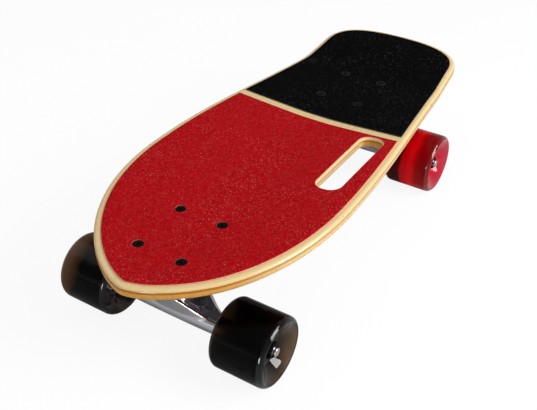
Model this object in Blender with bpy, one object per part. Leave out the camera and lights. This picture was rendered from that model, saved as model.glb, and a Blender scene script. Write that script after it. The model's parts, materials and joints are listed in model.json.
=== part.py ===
"""Cruiser skateboard: a pressed wooden deck on two sprung trucks with four soft wheels.

Every physical piece is its own solid. +X points to the nose, +Y to the rider's left and +Z up.
The origin lies on the ground, midway along the board. Lengths are in metres, angles in degrees.
"""
import bpy
import bmesh
from math import cos, pi, radians, sin, sqrt, tan
from mathutils import Euler, Matrix, Vector

# Deck outline, seen from above
DECK_LENGTH = 0.4889
DECK_WIDTH = 0.2004
WIDEST_X = 0.0774
NOSE_TIP_PULL = 0.0135
NOSE_FLANK_PULL = 0.1314
TAPER_PULL = 0.0964
SHOULDER_PULL = 0.1134
SHOULDER_WIDTH = 0.1532
SHOULDER_ANGLE = 3.4
TAIL_CORNER_LENGTH = 0.0399
TAIL_CORNER_PULL = 0.0335
TAIL_END_PULL = 0.0398

# Deck section and the mould that presses it
DECK_THICKNESS = 0.0102
EDGE_ROUNDING = 0.0035
CONCAVE_RISE = 0.0076
CONCAVE_FLAT_WIDTH = 0.026
CONCAVE_POWER = 1.15
CONCAVE_FADE_POWER = 1.5
CONCAVE_MIDDLE_X = 0.0492
CONCAVE_FRONT_REACH = 0.436
CONCAVE_REAR_REACH = 0.2166
NOSE_LIFT = 0.0023
NOSE_LIFT_POWER = 1.5
KICK_ANGLE = 9.4
KICK_RADIUS = 0.080

# Carry handle cut through the deck
HANDLE_LENGTH = 0.0985
HANDLE_WIDTH = 0.0225
HANDLE_CORNER = 0.0096
HANDLE_X = 0.0109
HANDLE_Y = 0.0662
HANDLE_ROUNDING = 0.0028

# Grip tape, in two colours with a bare strip between them
GRIP_THICKNESS = 0.0008
NOSE_GRIP_MARGIN = 0.0059
TAIL_GRIP_MARGIN = 0.0053
GRIP_HANDLE_MARGIN = 0.0004
GRIP_SEAM_X = -0.0476
GRIP_SEAM_WIDTH = 0.0100

# Trucks, as they stand under the deck
NOSE_TO_TRUCK = 0.07325
TAIL_TO_TRUCK = 0.12395
TRUCK_HEIGHT = 0.0541
AXLE_OFFSET = 0.0125
BOLT_SPACING_X = 0.05398
BOLT_SPACING_Y = 0.0413

# Mounting bolts and their locknuts
BOLT_RADIUS = 0.0023
BOLT_HEAD_RADIUS = 0.0046
BOLT_HEAD_RIM = 0.0005
BOLT_HEAD_CONE = 0.0024
BOLT_TIP = 0.0015
LOCKNUT_FLATS = 0.0095
LOCKNUT_HEIGHT = 0.0050

# Baseplate
PLATE_LENGTH = 0.074
PLATE_WIDTH = 0.054
PLATE_THICKNESS = 0.0056
PLATE_CORNER = 0.008
PLATE_CHAMFER = 0.0010
KINGPIN_BOSS_RADIUS = 0.0136
KINGPIN_BOSS_FLARE = 0.0030
KINGPIN_BOSS_DEPTH = 0.0135
PIVOT_BOSS_RADIUS = 0.0118
PIVOT_BOSS_FLOOR = 0.0024
RIB_THICKNESS = 0.0040
RIB_SPACING = 0.0170
RIB_DEPTH = 0.0125
RIB_INSET = 0.0030

# Kingpin and the stack of pieces on it
KINGPIN_X = -0.0040
KINGPIN_LEAN = 8.0
KINGPIN_RADIUS = 0.00476
KINGPIN_HEAD_FLATS = 0.0143
KINGPIN_HEAD_HEIGHT = 0.0050
KINGPIN_HEAD_DEPTH = 0.0014
KINGPIN_TIP = 0.0020
KINGPIN_NUT_HEIGHT = 0.0082
BUSHING_RADIUS = 0.0122
BUSHING_TOP_HEIGHT = 0.0170
BUSHING_ROAD_HEIGHT = 0.0125
BUSHING_ROAD_SHOULDER = (0.0116, 0.0042)
BUSHING_ROAD_END_RADIUS = 0.0098
CUP_WASHER_THICKNESS = 0.0015
CUP_WASHER_LIP = 0.0018
CUP_WASHER_WALL = 0.0011

# Hanger
HANGER_WIDTH = 0.1255
TUBE_RADIUS = 0.0080
TUBE_MIDDLE_RADIUS = 0.0087
TUBE_STRAIGHT = 0.0400
TUBE_CHAMFER = 0.0008
RING_RADIUS = 0.0166
RING_HOLE_RADIUS = 0.0080
RING_THICKNESS = 0.0090
RING_LIP = 0.0012
WEB_THICKNESS = 0.0090
WEB_ROOT_HALF_WIDTH = 0.0570
WEB_ROOT_PULL = 0.0170
WEB_END = 0.0275
WEB_END_HALF_WIDTH = 0.0160
WEB_END_PULL = (0.0125, 0.0150)
WING_FOOT = 0.0074
WING_CREST = 0.0022
WING_ROOT_HALF_WIDTH = 0.0470
WING_ROOT_PULL = 0.0130
WING_END = 0.0215
WING_END_HALF_WIDTH = 0.0084
WING_END_PULL = (0.0080, 0.0145)
CAST_ROOT_DEPTH = 0.0065
CAST_CHAMFER = 0.0015

# Pivot: the hanger's round nose in its plastic cup
PIVOT_X = 0.0290
PIVOT_DEPTH = 0.0170
PIVOT_LEAN = 40.0
PIVOT_BALL_RADIUS = 0.0064
PIVOT_BALL_END_ANGLE = -45.0
PIVOT_NECK_RADIUS = 0.0050
PIVOT_NECK_DEPTH = 0.0083
PIVOT_ROOT_RADIUS = 0.0084
PIVOT_ROOT_DEPTH = 0.0222
PIVOT_LENGTH = 0.0370
CUP_WALL = 0.0018
CUP_MOUTH = 0.0024

# Axle, wheels and bearings
AXLE_RADIUS = 0.00397
AXLE_CHAMFER = 0.0008
AXLE_TIP = 0.0013
AXLE_NUT_FLATS = 0.0127
AXLE_NUT_HEIGHT = 0.0068
WHEEL_DIAMETER = 0.060
WHEEL_WIDTH = 0.0491
WHEEL_EDGE_ROUNDING = 0.0051
WHEEL_LIP_RADIUS = 0.0243
WHEEL_HUB_RADIUS = 0.0140
WHEEL_HUB_STEP = 0.0012
WHEEL_BORE_RADIUS = 0.0088
BEARING_RADIUS = 0.0110
BEARING_WIDTH = 0.0070
BEARING_SLEEVE_RADIUS = 0.0060
SPACER_LENGTH = 0.0100
SPEED_WASHER_RADIUS = 0.0066
SPEED_WASHER_THICKNESS = 0.0010

# Clearances between neighbouring pieces
SEAT_GAP = 0.0003
SKIN_GAP = 0.0003
BOLT_CLEARANCE = 0.0003
RACE_GAP = 0.0005
BUSHING_SEAT_CLEARANCE = 0.0009
ROAD_LIP_CLEARANCE = 0.00045

# Where the sheets' points lie between the centre line and the edge, as shares of that way, and how
# far from the deck's ends that line stops, as a share of the deck's width
SHEET_FILLS = (0.0, 0.40, 0.74)
SHEET_END_SHARE = 0.32

# How finely the curves are drawn
OUTLINE_STEPS = (11, 10, 8)
HANDLE_CORNER_STEPS = 5
PLATE_CORNER_STEPS = 3
CASTING_STEPS = 7
BALL_STEPS = 5
WHEEL_SIDES = 24
RING_SIDES = 20
ROUND_SIDES = 16
SMALL_SIDES = 12
SHARP_ANGLE = 35
MERGE_DISTANCE = 1e-6

# Sizes that follow from those above
WHEEL_RADIUS = WHEEL_DIAMETER / 2
DECK_BOTTOM_Z = WHEEL_RADIUS + TRUCK_HEIGHT
GRIP_TOP = DECK_THICKNESS + SKIN_GAP + GRIP_THICKNESS
FRONT_TRUCK_X = DECK_LENGTH / 2 - NOSE_TO_TRUCK
REAR_TRUCK_X = TAIL_TO_TRUCK - DECK_LENGTH / 2
REAR_PLATE_END_X = REAR_TRUCK_X - PLATE_LENGTH / 2
FRONT_BOLTS_X = FRONT_TRUCK_X + BOLT_SPACING_X / 2

# How far the cutters reach past a piece
CUT_REACH = 0.030


def clear_scene():
    for thing in list(bpy.data.objects):
        bpy.data.objects.remove(thing, do_unlink=True)


def paint(name, colour, roughness, metallic=0.0):
    """A plain Principled material."""
    material = bpy.data.materials.new(name)
    material.use_nodes = True
    shader = material.node_tree.nodes["Principled BSDF"]
    shader.inputs["Base Color"].default_value = (*colour, 1.0)
    shader.inputs["Roughness"].default_value = roughness
    shader.inputs["Metallic"].default_value = metallic
    return material


def turn_about_y(degrees):
    return (0.0, radians(degrees), 0.0)


def frame(name, parent, location=(0, 0, 0), rotation=(0, 0, 0)):
    """An empty that carries the pieces which lie on one axis."""
    axis = bpy.data.objects.new(name, None)
    bpy.context.collection.objects.link(axis)
    axis.parent = parent
    axis.location = location
    axis.rotation_euler = rotation
    return axis


def piece(name, mesh, material, parent, location=(0, 0, 0), rotation=(0, 0, 0)):
    """A finished piece, which becomes one node."""
    thing = bpy.data.objects.new(name, mesh)
    bpy.context.collection.objects.link(thing)
    thing.parent = parent
    thing.location = location
    thing.rotation_euler = rotation
    if not mesh.materials:
        mesh.materials.append(material)
    mesh.shade_smooth()
    mesh.set_sharp_from_angle(angle=radians(SHARP_ANGLE))
    return thing


def form(name, mesh, parent, location=(0, 0, 0), rotation=(0, 0, 0)):
    """A shape that only joins or cuts a piece."""
    thing = bpy.data.objects.new(name, mesh)
    bpy.context.collection.objects.link(thing)
    thing.parent = parent
    thing.location = location
    thing.rotation_euler = rotation
    thing.hide_render = True
    thing.display_type = "WIRE"
    return thing


def combine(target, tool, operation):
    modifier = target.modifiers.new(operation.lower() + " " + tool.name, "BOOLEAN")
    modifier.operation = operation
    modifier.solver = "EXACT"
    modifier.object = tool


def finish_mesh(name, bm):
    bmesh.ops.remove_doubles(bm, verts=bm.verts, dist=MERGE_DISTANCE)
    bmesh.ops.recalc_face_normals(bm, faces=bm.faces)
    mesh = bpy.data.meshes.new(name)
    bm.to_mesh(mesh)
    bm.free()
    return mesh


def turned(name, profile, sides, axis="Z"):
    """Revolve a profile of (radius, height) points about Z or Y.

    A profile that starts and ends on the axis makes a solid, and any other is closed into a ring.
    The sides stand so that a flat, and no corner, faces down.
    """
    bm = bmesh.new()
    start = pi / sides
    verts = []
    for radius, height in profile:
        if axis == "Z":
            place = (radius * cos(start), radius * sin(start), height)
        else:
            place = (radius * cos(start), height, radius * sin(start))
        verts.append(bm.verts.new(place))
    edges = [bm.edges.new(pair) for pair in zip(verts, verts[1:])]
    if profile[0][0] > 0:
        edges.append(bm.edges.new((verts[-1], verts[0])))
    spin_axis = (0, 0, 1) if axis == "Z" else (0, 1, 0)
    bmesh.ops.spin(bm, geom=verts + edges, cent=(0, 0, 0), axis=spin_axis, angle=2 * pi,
                   steps=sides, use_merge=True)
    return finish_mesh(name, bm)


def flats_radius(radius, sides):
    """Corner radius of a polygon whose flats lie at the given radius."""
    return radius / cos(pi / sides)


def hexagon(name, flats, bore, top, bottom, sides=12):
    """A hexagonal nut or bolt head between two heights; a bore of 0 leaves it solid."""
    bm = bmesh.new()
    rings = []
    for radius, height in ((bore, top), (flats / 2, top), (flats / 2, bottom), (bore, bottom)):
        ring = []
        for k in range(sides):
            corner = k % (sides // 6) == 0 and radius == flats / 2
            reach = radius / cos(pi / 6) if corner else radius
            angle = 2 * pi * k / sides
            ring.append(bm.verts.new((reach * cos(angle), reach * sin(angle), height)))
        rings.append(ring)
    bridge(bm, rings, closed=True)
    return finish_mesh(name, bm)


def bridge(bm, rings, closed=False):
    """Join rings of equally many points with faces."""
    pairs = list(zip(rings, rings[1:]))
    if closed:
        pairs.append((rings[-1], rings[0]))
    for lower, upper in pairs:
        for k in range(len(lower)):
            n = (k + 1) % len(lower)
            corners = [lower[k], lower[n], upper[n], upper[k]]
            if len({tuple(v.co) for v in corners}) > 2:
                bm.faces.new(corners)


def extruded(name, outline, low, high, chamfer=0.0):
    """A flat outline of (x, y) points raised between two heights, with an optional chamfer."""
    bm = bmesh.new()
    face = bm.faces.new([bm.verts.new((x, y, low)) for x, y in outline])
    raised = bmesh.ops.extrude_face_region(bm, geom=[face])["geom"]
    tops = [v for v in raised if isinstance(v, bmesh.types.BMVert)]
    bmesh.ops.translate(bm, verts=tops, vec=(0, 0, high - low))
    if chamfer:
        rims = [e for e in bm.edges if abs(e.verts[0].co.z - e.verts[1].co.z) < chamfer / 10]
        bmesh.ops.bevel(bm, geom=rims, offset=chamfer, segments=1, profile=0.5,
                        affect="EDGES", material=-1)
    return finish_mesh(name, bm)


def corner_arc(centre, radius, start, steps):
    """A quarter turn of points about a centre."""
    points = []
    for k in range(steps + 1):
        angle = radians(start + 90 * k / steps)
        points.append((centre[0] + radius * cos(angle), centre[1] + radius * sin(angle)))
    return points


def rounded_rectangle(length, width, corner, steps):
    x = length / 2 - corner
    y = width / 2 - corner
    outline = corner_arc((x, y), corner, 0, steps) + corner_arc((-x, y), corner, 90, steps)
    outline += corner_arc((-x, -y), corner, 180, steps) + corner_arc((x, -y), corner, 270, steps)
    return outline


def cubic(start, pull_start, pull_end, end, steps):
    """Points along a cubic curve, without its last one."""
    points = []
    for k in range(steps):
        t = k / steps
        s = 1 - t
        points.append(start * s ** 3 + pull_start * 3 * s * s * t + pull_end * 3 * s * t * t + end * t ** 3)
    return points


def deck_outline():
    """The deck from above, from the nose tip round the left side and back."""
    nose = Vector((DECK_LENGTH / 2, 0))
    widest = Vector((WIDEST_X, DECK_WIDTH / 2))
    shoulder = Vector((TAIL_CORNER_LENGTH - DECK_LENGTH / 2, SHOULDER_WIDTH / 2))
    tail = Vector((-DECK_LENGTH / 2, 0))
    taper = Vector((cos(radians(SHOULDER_ANGLE)), sin(radians(SHOULDER_ANGLE))))
    half = cubic(nose, nose + Vector((0, NOSE_TIP_PULL)), widest + Vector((NOSE_FLANK_PULL, 0)), widest,
                 OUTLINE_STEPS[0])
    half += cubic(widest, widest - Vector((TAPER_PULL, 0)), shoulder + taper * SHOULDER_PULL, shoulder,
                  OUTLINE_STEPS[1])
    half += cubic(shoulder, shoulder - taper * TAIL_CORNER_PULL, tail + Vector((0, TAIL_END_PULL)), tail,
                  OUTLINE_STEPS[2])
    half.append(tail)
    other = [Vector((p.x, -p.y)) for p in reversed(half[1:-1])]
    return half + other


def press(x, y):
    """How far the mould lifts the flat blank at a point."""
    if x > CONCAVE_MIDDLE_X:
        along = (x - CONCAVE_MIDDLE_X) / CONCAVE_FRONT_REACH
    else:
        along = (CONCAVE_MIDDLE_X - x) / CONCAVE_REAR_REACH
    fade = max(1 - along * along, 0) ** CONCAVE_FADE_POWER
    flat = CONCAVE_FLAT_WIDTH / 2
    across = max(abs(y) - flat, 0) / (DECK_WIDTH / 2 - flat)
    lift = CONCAVE_RISE * fade * across ** CONCAVE_POWER
    ahead = max(x - FRONT_BOLTS_X, 0) / (DECK_LENGTH / 2 - FRONT_BOLTS_X)
    lift += NOSE_LIFT * ahead ** NOSE_LIFT_POWER
    behind = max(REAR_PLATE_END_X - x, 0)
    bend = KICK_RADIUS * sin(radians(KICK_ANGLE))
    lift += KICK_RADIUS - sqrt(KICK_RADIUS ** 2 - min(behind, bend) ** 2)
    lift += max(behind - bend, 0) * tan(radians(KICK_ANGLE))
    return lift


def crease(bm, point, normal):
    """Draw a line across the blank, where the mould's shape changes."""
    geom = list(bm.verts) + list(bm.edges) + list(bm.faces)
    return bmesh.ops.bisect_plane(bm, geom=geom, dist=MERGE_DISTANCE, plane_co=point, plane_no=normal)


def trim(bm, x, side):
    """Cut away the blank in front of x (side 1) or behind it (side -1), and close the cut."""
    geom = list(bm.verts) + list(bm.edges) + list(bm.faces)
    cut = bmesh.ops.bisect_plane(bm, geom=geom, dist=MERGE_DISTANCE, plane_co=(x, 0, 0),
                                 plane_no=(side, 0, 0), clear_outer=True)
    rim = [e for e in cut["geom_cut"] if isinstance(e, bmesh.types.BMEdge)]
    bmesh.ops.edgeloop_fill(bm, edges=rim)


def pressed_sheet(name, layers, front_cut=None, rear_cut=None):
    """A sheet with the deck's outline. Each layer is (fill, inset, height).

    Its points lie the given share of the way from the deck's centre line to its inset edge. The flat
    blank gets its creases and cuts, and then takes the mould's shape.
    """
    outline = deck_outline()
    spine_end = DECK_LENGTH / 2 - DECK_WIDTH * SHEET_END_SHARE
    bm = bmesh.new()
    rings = []
    for fill, inset, height in layers:
        ring = []
        for k, point in enumerate(outline):
            along = outline[(k + 1) % len(outline)] - outline[k - 1]
            edge = point + Vector((-along.y, along.x)).normalized() * inset
            spine = Vector((min(max(point.x, -spine_end), spine_end), 0))
            place = spine.lerp(edge, fill)
            ring.append(bm.verts.new((place.x, place.y, height)))
        rings.append(ring)
    bridge(bm, rings)
    bmesh.ops.remove_doubles(bm, verts=bm.verts, dist=MERGE_DISTANCE)
    for x in (REAR_PLATE_END_X, REAR_PLATE_END_X - KICK_RADIUS * sin(radians(KICK_ANGLE))):
        crease(bm, (x, 0, 0), (1, 0, 0))
    for y in (-CONCAVE_FLAT_WIDTH / 2, CONCAVE_FLAT_WIDTH / 2):
        crease(bm, (0, y, 0), (0, 1, 0))
    if front_cut is not None:
        trim(bm, front_cut, 1)
    if rear_cut is not None:
        trim(bm, rear_cut, -1)
    for vert in bm.verts:
        vert.co.z += press(vert.co.x, vert.co.y)
    return finish_mesh(name, bm)


def deck_layers():
    """From the middle of the top out over the rounded edge and back to the middle below."""
    top = [(fill, EDGE_ROUNDING, DECK_THICKNESS) for fill in SHEET_FILLS]
    bottom = [(fill, EDGE_ROUNDING, 0.0) for fill in SHEET_FILLS]
    edge = []
    for angle in (0, 30, 60, 90):
        inset = EDGE_ROUNDING * (1 - sin(radians(angle)))
        edge.append((1.0, inset, EDGE_ROUNDING * (1 - cos(radians(angle)))))
    upper = [(fill, inset, DECK_THICKNESS - drop) for fill, inset, drop in edge]
    return top + upper + edge[::-1] + bottom[::-1]


def grip_layers(margin):
    """The tape's points lie over the deck's, except those of its own edge."""
    top = [(fill, EDGE_ROUNDING, GRIP_TOP) for fill in SHEET_FILLS] + [(1.0, margin, GRIP_TOP)]
    return top + [(fill, inset, DECK_THICKNESS + SKIN_GAP) for fill, inset, height in reversed(top)]


def handle_cutter(name, layers):
    """A plug in the shape of the handle. Each layer is (outset, height above the pressed deck)."""
    bm = bmesh.new()
    rings = []
    for outset, height in layers:
        outline = rounded_rectangle(HANDLE_LENGTH + 2 * outset, HANDLE_WIDTH + 2 * outset,
                                    HANDLE_CORNER + outset, HANDLE_CORNER_STEPS)
        ring = []
        for x, y in outline:
            x += HANDLE_X
            y += HANDLE_Y
            ring.append(bm.verts.new((x, y, press(x, y) + height)))
        rings.append(ring)
    bm.faces.new(rings[0])
    bridge(bm, rings)
    bm.faces.new(rings[-1])
    return finish_mesh(name, bm)


def handle_layers():
    """The handle's walls, rounded over at the top and the bottom of the deck."""
    steepest = 75
    flare = [(HANDLE_ROUNDING * (1 - cos(radians(a))), HANDLE_ROUNDING * (1 - sin(radians(a))))
             for a in (steepest, steepest / 2, 0)]
    past = DECK_THICKNESS
    upper = [(outset, DECK_THICKNESS - drop) for outset, drop in flare]
    return [(flare[0][0], DECK_THICKNESS + past)] + upper + flare[::-1] + [(flare[0][0], -past)]


def build_deck(board, materials):
    deck = piece("deck", pressed_sheet("deck", deck_layers()), materials["maple"], board)
    handle = form("handle_cutter", handle_cutter("handle_cutter", handle_layers()), board)
    combine(deck, handle, "DIFFERENCE")

    outset = HANDLE_ROUNDING + GRIP_HANDLE_MARGIN
    walls = [(outset, CUT_REACH), (outset, 0.0)]
    grip_handle = form("grip_handle_cutter", handle_cutter("grip_handle_cutter", walls), board)
    nose_sheet = pressed_sheet("nose_grip_tape", grip_layers(NOSE_GRIP_MARGIN),
                               rear_cut=GRIP_SEAM_X + GRIP_SEAM_WIDTH / 2)
    tail_sheet = pressed_sheet("tail_grip_tape", grip_layers(TAIL_GRIP_MARGIN),
                               front_cut=GRIP_SEAM_X - GRIP_SEAM_WIDTH / 2)
    nose_grip = piece("nose_grip_tape", nose_sheet, materials["red_grit"], board)
    tail_grip = piece("tail_grip_tape", tail_sheet, materials["black_grit"], board)
    combine(nose_grip, grip_handle, "DIFFERENCE")
    return deck, nose_grip, tail_grip


def bolt_places():
    for x in (-BOLT_SPACING_X / 2, BOLT_SPACING_X / 2):
        for y in (-BOLT_SPACING_Y / 2, BOLT_SPACING_Y / 2):
            yield x, y


def bolt_hole_cutter(name):
    """Four countersunk holes in one shape, from above the grip tape to below the baseplate."""
    clear = BOLT_CLEARANCE
    head = BOLT_HEAD_RADIUS + clear
    shaft = BOLT_RADIUS + clear
    rim = GRIP_TOP - BOLT_HEAD_RIM
    profile = [(0, GRIP_TOP + CUT_REACH), (head, GRIP_TOP + CUT_REACH), (head, rim),
               (shaft, rim - BOLT_HEAD_CONE), (shaft, -CUT_REACH), (0, -CUT_REACH)]
    single = turned(name, profile, SMALL_SIDES)
    bm = bmesh.new()
    for x, y in bolt_places():
        before = len(bm.verts)
        bm.from_mesh(single)
        bm.verts.ensure_lookup_table()
        bmesh.ops.translate(bm, verts=bm.verts[before:], vec=(x, y, 0))
    bm.to_mesh(single)
    bm.free()
    return single


def bolt_mesh():
    nut_bottom = PLATE_THICKNESS + SEAT_GAP + LOCKNUT_HEIGHT
    rim = GRIP_TOP - BOLT_HEAD_RIM
    tip = -nut_bottom - BOLT_TIP
    profile = [(0, GRIP_TOP), (BOLT_HEAD_RADIUS, GRIP_TOP), (BOLT_HEAD_RADIUS, rim),
               (BOLT_RADIUS, rim - BOLT_HEAD_CONE), (BOLT_RADIUS, tip), (0, tip)]
    return turned("mounting_bolt", profile, SMALL_SIDES)


def baseplate_mesh(name):
    outline = rounded_rectangle(PLATE_LENGTH, PLATE_WIDTH, PLATE_CORNER, PLATE_CORNER_STEPS)
    return extruded(name, outline, -PLATE_THICKNESS, -SEAT_GAP, PLATE_CHAMFER)


def rib_mesh(name):
    """A web between the two bosses, drawn in the truck's side view."""
    start = KINGPIN_X + RIB_INSET
    end = PIVOT_X - RIB_INSET
    root = -PLATE_THICKNESS + PLATE_CHAMFER
    outline = [(start, root), (end, root), (end, -RIB_DEPTH), (start, -RIB_DEPTH)]
    return extruded(name, outline, -RIB_THICKNESS / 2, RIB_THICKNESS / 2)


def build_baseplate(name, truck, materials, hole_cutter):
    """The cast plate with its kingpin boss, pivot housing and the ribs between them."""
    plate = piece(name, baseplate_mesh(name), materials["cast"], truck)
    combine(plate, hole_cutter, "DIFFERENCE")
    kingpin_line = (KINGPIN_X, 0, 0)
    pivot_centre = (PIVOT_X, 0, -PIVOT_DEPTH)

    root = KINGPIN_BOSS_RADIUS + KINGPIN_BOSS_FLARE
    boss = [(0, -PLATE_THICKNESS / 2), (root, -PLATE_THICKNESS / 2),
            (KINGPIN_BOSS_RADIUS, -KINGPIN_BOSS_DEPTH), (0, -KINGPIN_BOSS_DEPTH)]
    combine(plate, form(name + "_kingpin_boss", turned("kingpin_boss", boss, ROUND_SIDES), truck,
                        kingpin_line, turn_about_y(KINGPIN_LEAN)), "UNION")

    cup_outside = PIVOT_BALL_RADIUS + SEAT_GAP + CUP_WALL + SEAT_GAP
    closed_end = cup_outside + PIVOT_BOSS_FLOOR
    mouth = -CUP_MOUTH / 2
    housing = [(0, closed_end), (PIVOT_BOSS_RADIUS, closed_end), (PIVOT_BOSS_RADIUS, mouth), (0, mouth)]
    combine(plate, form(name + "_pivot_boss", turned("pivot_boss", housing, ROUND_SIDES), truck,
                        pivot_centre, turn_about_y(PIVOT_LEAN)), "UNION")
    for side in (-1, 1):
        rib = form(name + "_rib", rib_mesh("rib"), truck, (0, side * RIB_SPACING / 2, 0),
                   (pi / 2, 0, 0))
        combine(plate, rib, "UNION")

    block = rounded_rectangle(PLATE_LENGTH + 2 * CUT_REACH, PLATE_WIDTH + 2 * CUT_REACH, CUT_REACH, 1)
    above = extruded("above", block, -SEAT_GAP, CUT_REACH)
    combine(plate, form(name + "_top_cutter", above, truck), "DIFFERENCE")

    hole = KINGPIN_RADIUS + SEAT_GAP
    bore = [(0, CUT_REACH), (hole, CUT_REACH), (hole, -CUT_REACH), (0, -CUT_REACH)]
    combine(plate, form(name + "_kingpin_bore", turned("kingpin_bore", bore, SMALL_SIDES), truck,
                        kingpin_line, turn_about_y(KINGPIN_LEAN)), "DIFFERENCE")
    pocket_floor = -KINGPIN_HEAD_DEPTH - KINGPIN_HEAD_HEIGHT - SEAT_GAP
    pocket = hexagon("head_pocket", KINGPIN_HEAD_FLATS + 2 * SEAT_GAP, 0, CUT_REACH, pocket_floor)
    combine(plate, form(name + "_head_pocket", pocket, truck, kingpin_line,
                        turn_about_y(KINGPIN_LEAN)), "DIFFERENCE")
    socket = [(0, cup_outside), (cup_outside, cup_outside), (cup_outside, -CUT_REACH), (0, -CUT_REACH)]
    combine(plate, form(name + "_cup_bore", turned("cup_bore", socket, ROUND_SIDES), truck,
                        pivot_centre, turn_about_y(PIVOT_LEAN)), "DIFFERENCE")


def pivot_cup_mesh():
    """A thimble whose inside is round like the hanger's nose."""
    inside = PIVOT_BALL_RADIUS + SEAT_GAP
    outside = inside + CUP_WALL
    profile = [(0, outside), (outside, outside), (outside, -CUP_MOUTH), (inside, -CUP_MOUTH)]
    for angle in (0, 30, 60):
        profile.append((inside * cos(radians(angle)), inside * sin(radians(angle))))
    profile.append((0, inside))
    return turned("pivot_cup", profile, ROUND_SIDES)


def kingpin_mesh(length):
    head_top = -KINGPIN_HEAD_DEPTH
    head_bottom = head_top - KINGPIN_HEAD_HEIGHT
    corner = KINGPIN_HEAD_FLATS / 2 / cos(pi / 6)
    bm = bmesh.new()
    rings = []
    for radius, height in ((0, head_top), (corner, head_top), (corner, head_bottom),
                           (KINGPIN_RADIUS, head_bottom), (KINGPIN_RADIUS, -length), (0, -length)):
        ring = []
        for k in range(SMALL_SIDES):
            reach = radius * cos(pi / 6) if radius == corner and k % 2 else radius
            angle = 2 * pi * k / SMALL_SIDES
            ring.append(bm.verts.new((reach * cos(angle), reach * sin(angle), height)))
        rings.append(ring)
    bridge(bm, rings)
    return finish_mesh("kingpin", bm)


def cup_washer_mesh(name, radius, lip_side):
    """A dished washer; the lip holds the bushing's end, below it (-1) or above it (1)."""
    hole = KINGPIN_RADIUS + SEAT_GAP
    inner = flats_radius(radius + SEAT_GAP, SMALL_SIDES)
    outer = inner + CUP_WASHER_WALL
    back = -lip_side * CUP_WASHER_THICKNESS
    lip = lip_side * CUP_WASHER_LIP
    profile = [(hole, 0), (hole, back), (outer, back), (outer, lip), (inner, lip), (inner, 0)]
    return turned(name, profile, SMALL_SIDES)


def bushing_mesh(name, outside):
    """A urethane bushing, standing on its hanger end at height 0."""
    hole = KINGPIN_RADIUS + SEAT_GAP
    profile = [(hole, 0), (BUSHING_RADIUS, 0)] + outside + [(hole, outside[-1][1])]
    return turned(name, profile, ROUND_SIDES)


def kingpin_stack():
    """Heights along the kingpin, down from the deck's underside."""
    stack = {}
    stack["top_washer"] = KINGPIN_BOSS_DEPTH + SEAT_GAP + CUP_WASHER_THICKNESS
    stack["top_bushing"] = stack["top_washer"] + SEAT_GAP + BUSHING_TOP_HEIGHT
    stack["ring_top"] = stack["top_bushing"] + SEAT_GAP
    stack["ring_middle"] = stack["ring_top"] + RING_THICKNESS / 2
    stack["ring_bottom"] = stack["ring_top"] + RING_THICKNESS
    stack["road_bushing"] = stack["ring_bottom"] + SEAT_GAP
    stack["road_washer"] = stack["road_bushing"] + BUSHING_ROAD_HEIGHT + SEAT_GAP
    stack["nut_top"] = stack["road_washer"] + CUP_WASHER_THICKNESS + SEAT_GAP
    stack["nut_bottom"] = stack["nut_top"] + KINGPIN_NUT_HEIGHT
    stack["tip"] = stack["nut_bottom"] + KINGPIN_TIP
    return stack


def build_kingpin(name, truck, materials):
    """The kingpin with its nut, washers and bushings, all on one leaning line."""
    stack = kingpin_stack()
    line = frame(name + "_kingpin_line", truck, (KINGPIN_X, 0, 0), turn_about_y(KINGPIN_LEAN))
    piece(name + "_kingpin", kingpin_mesh(stack["tip"]), materials["zinc"], line)
    piece(name + "_top_cup_washer", cup_washer_mesh("top_cup_washer", BUSHING_RADIUS, -1),
          materials["zinc"], line, (0, 0, -stack["top_washer"]))
    barrel = bushing_mesh("top_bushing", [(BUSHING_RADIUS, BUSHING_TOP_HEIGHT)])
    piece(name + "_top_bushing", barrel, materials["bushing"], line, (0, 0, -stack["top_bushing"]))
    road_end = (BUSHING_ROAD_END_RADIUS, BUSHING_ROAD_HEIGHT)
    cone = bushing_mesh("road_bushing", [BUSHING_ROAD_SHOULDER, road_end])
    piece(name + "_road_bushing", cone, materials["bushing"], line, (0, 0, -stack["road_bushing"]),
          (pi, 0, 0))
    piece(name + "_road_cup_washer",
          cup_washer_mesh("road_cup_washer", BUSHING_ROAD_END_RADIUS + ROAD_LIP_CLEARANCE, 1),
          materials["zinc"], line, (0, 0, -stack["road_washer"]))
    nut = hexagon("kingpin_nut", KINGPIN_HEAD_FLATS, KINGPIN_RADIUS + SEAT_GAP,
                  -stack["nut_top"], -stack["nut_bottom"])
    piece(name + "_kingpin_nut", nut, materials["zinc"], line)


def hollow_side(root_half_width, root_pull, end, end_half_width, end_pull):
    """One side of a web in its own plane, where x runs away from the axle.

    It leaves the axle tube along the axle and sweeps in to the far end.
    """
    root = Vector((CAST_ROOT_DEPTH, root_half_width))
    tip = Vector((end, end_half_width))
    side = cubic(root, root - Vector((0, root_pull)), tip + Vector((-end_pull[0], end_pull[1])), tip,
                 CASTING_STEPS)
    return side + [tip]


def web_mesh():
    """The web from the axle tube in to the bushing ring."""
    side = hollow_side(WEB_ROOT_HALF_WIDTH, WEB_ROOT_PULL, WEB_END, WEB_END_HALF_WIDTH, WEB_END_PULL)
    side.insert(0, Vector((0, WEB_ROOT_HALF_WIDTH)))
    outline = [(p.x, p.y) for p in side] + [(p.x, -p.y) for p in reversed(side)]
    return extruded("web", outline, -WEB_THICKNESS / 2, WEB_THICKNESS / 2, CAST_CHAMFER)


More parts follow.
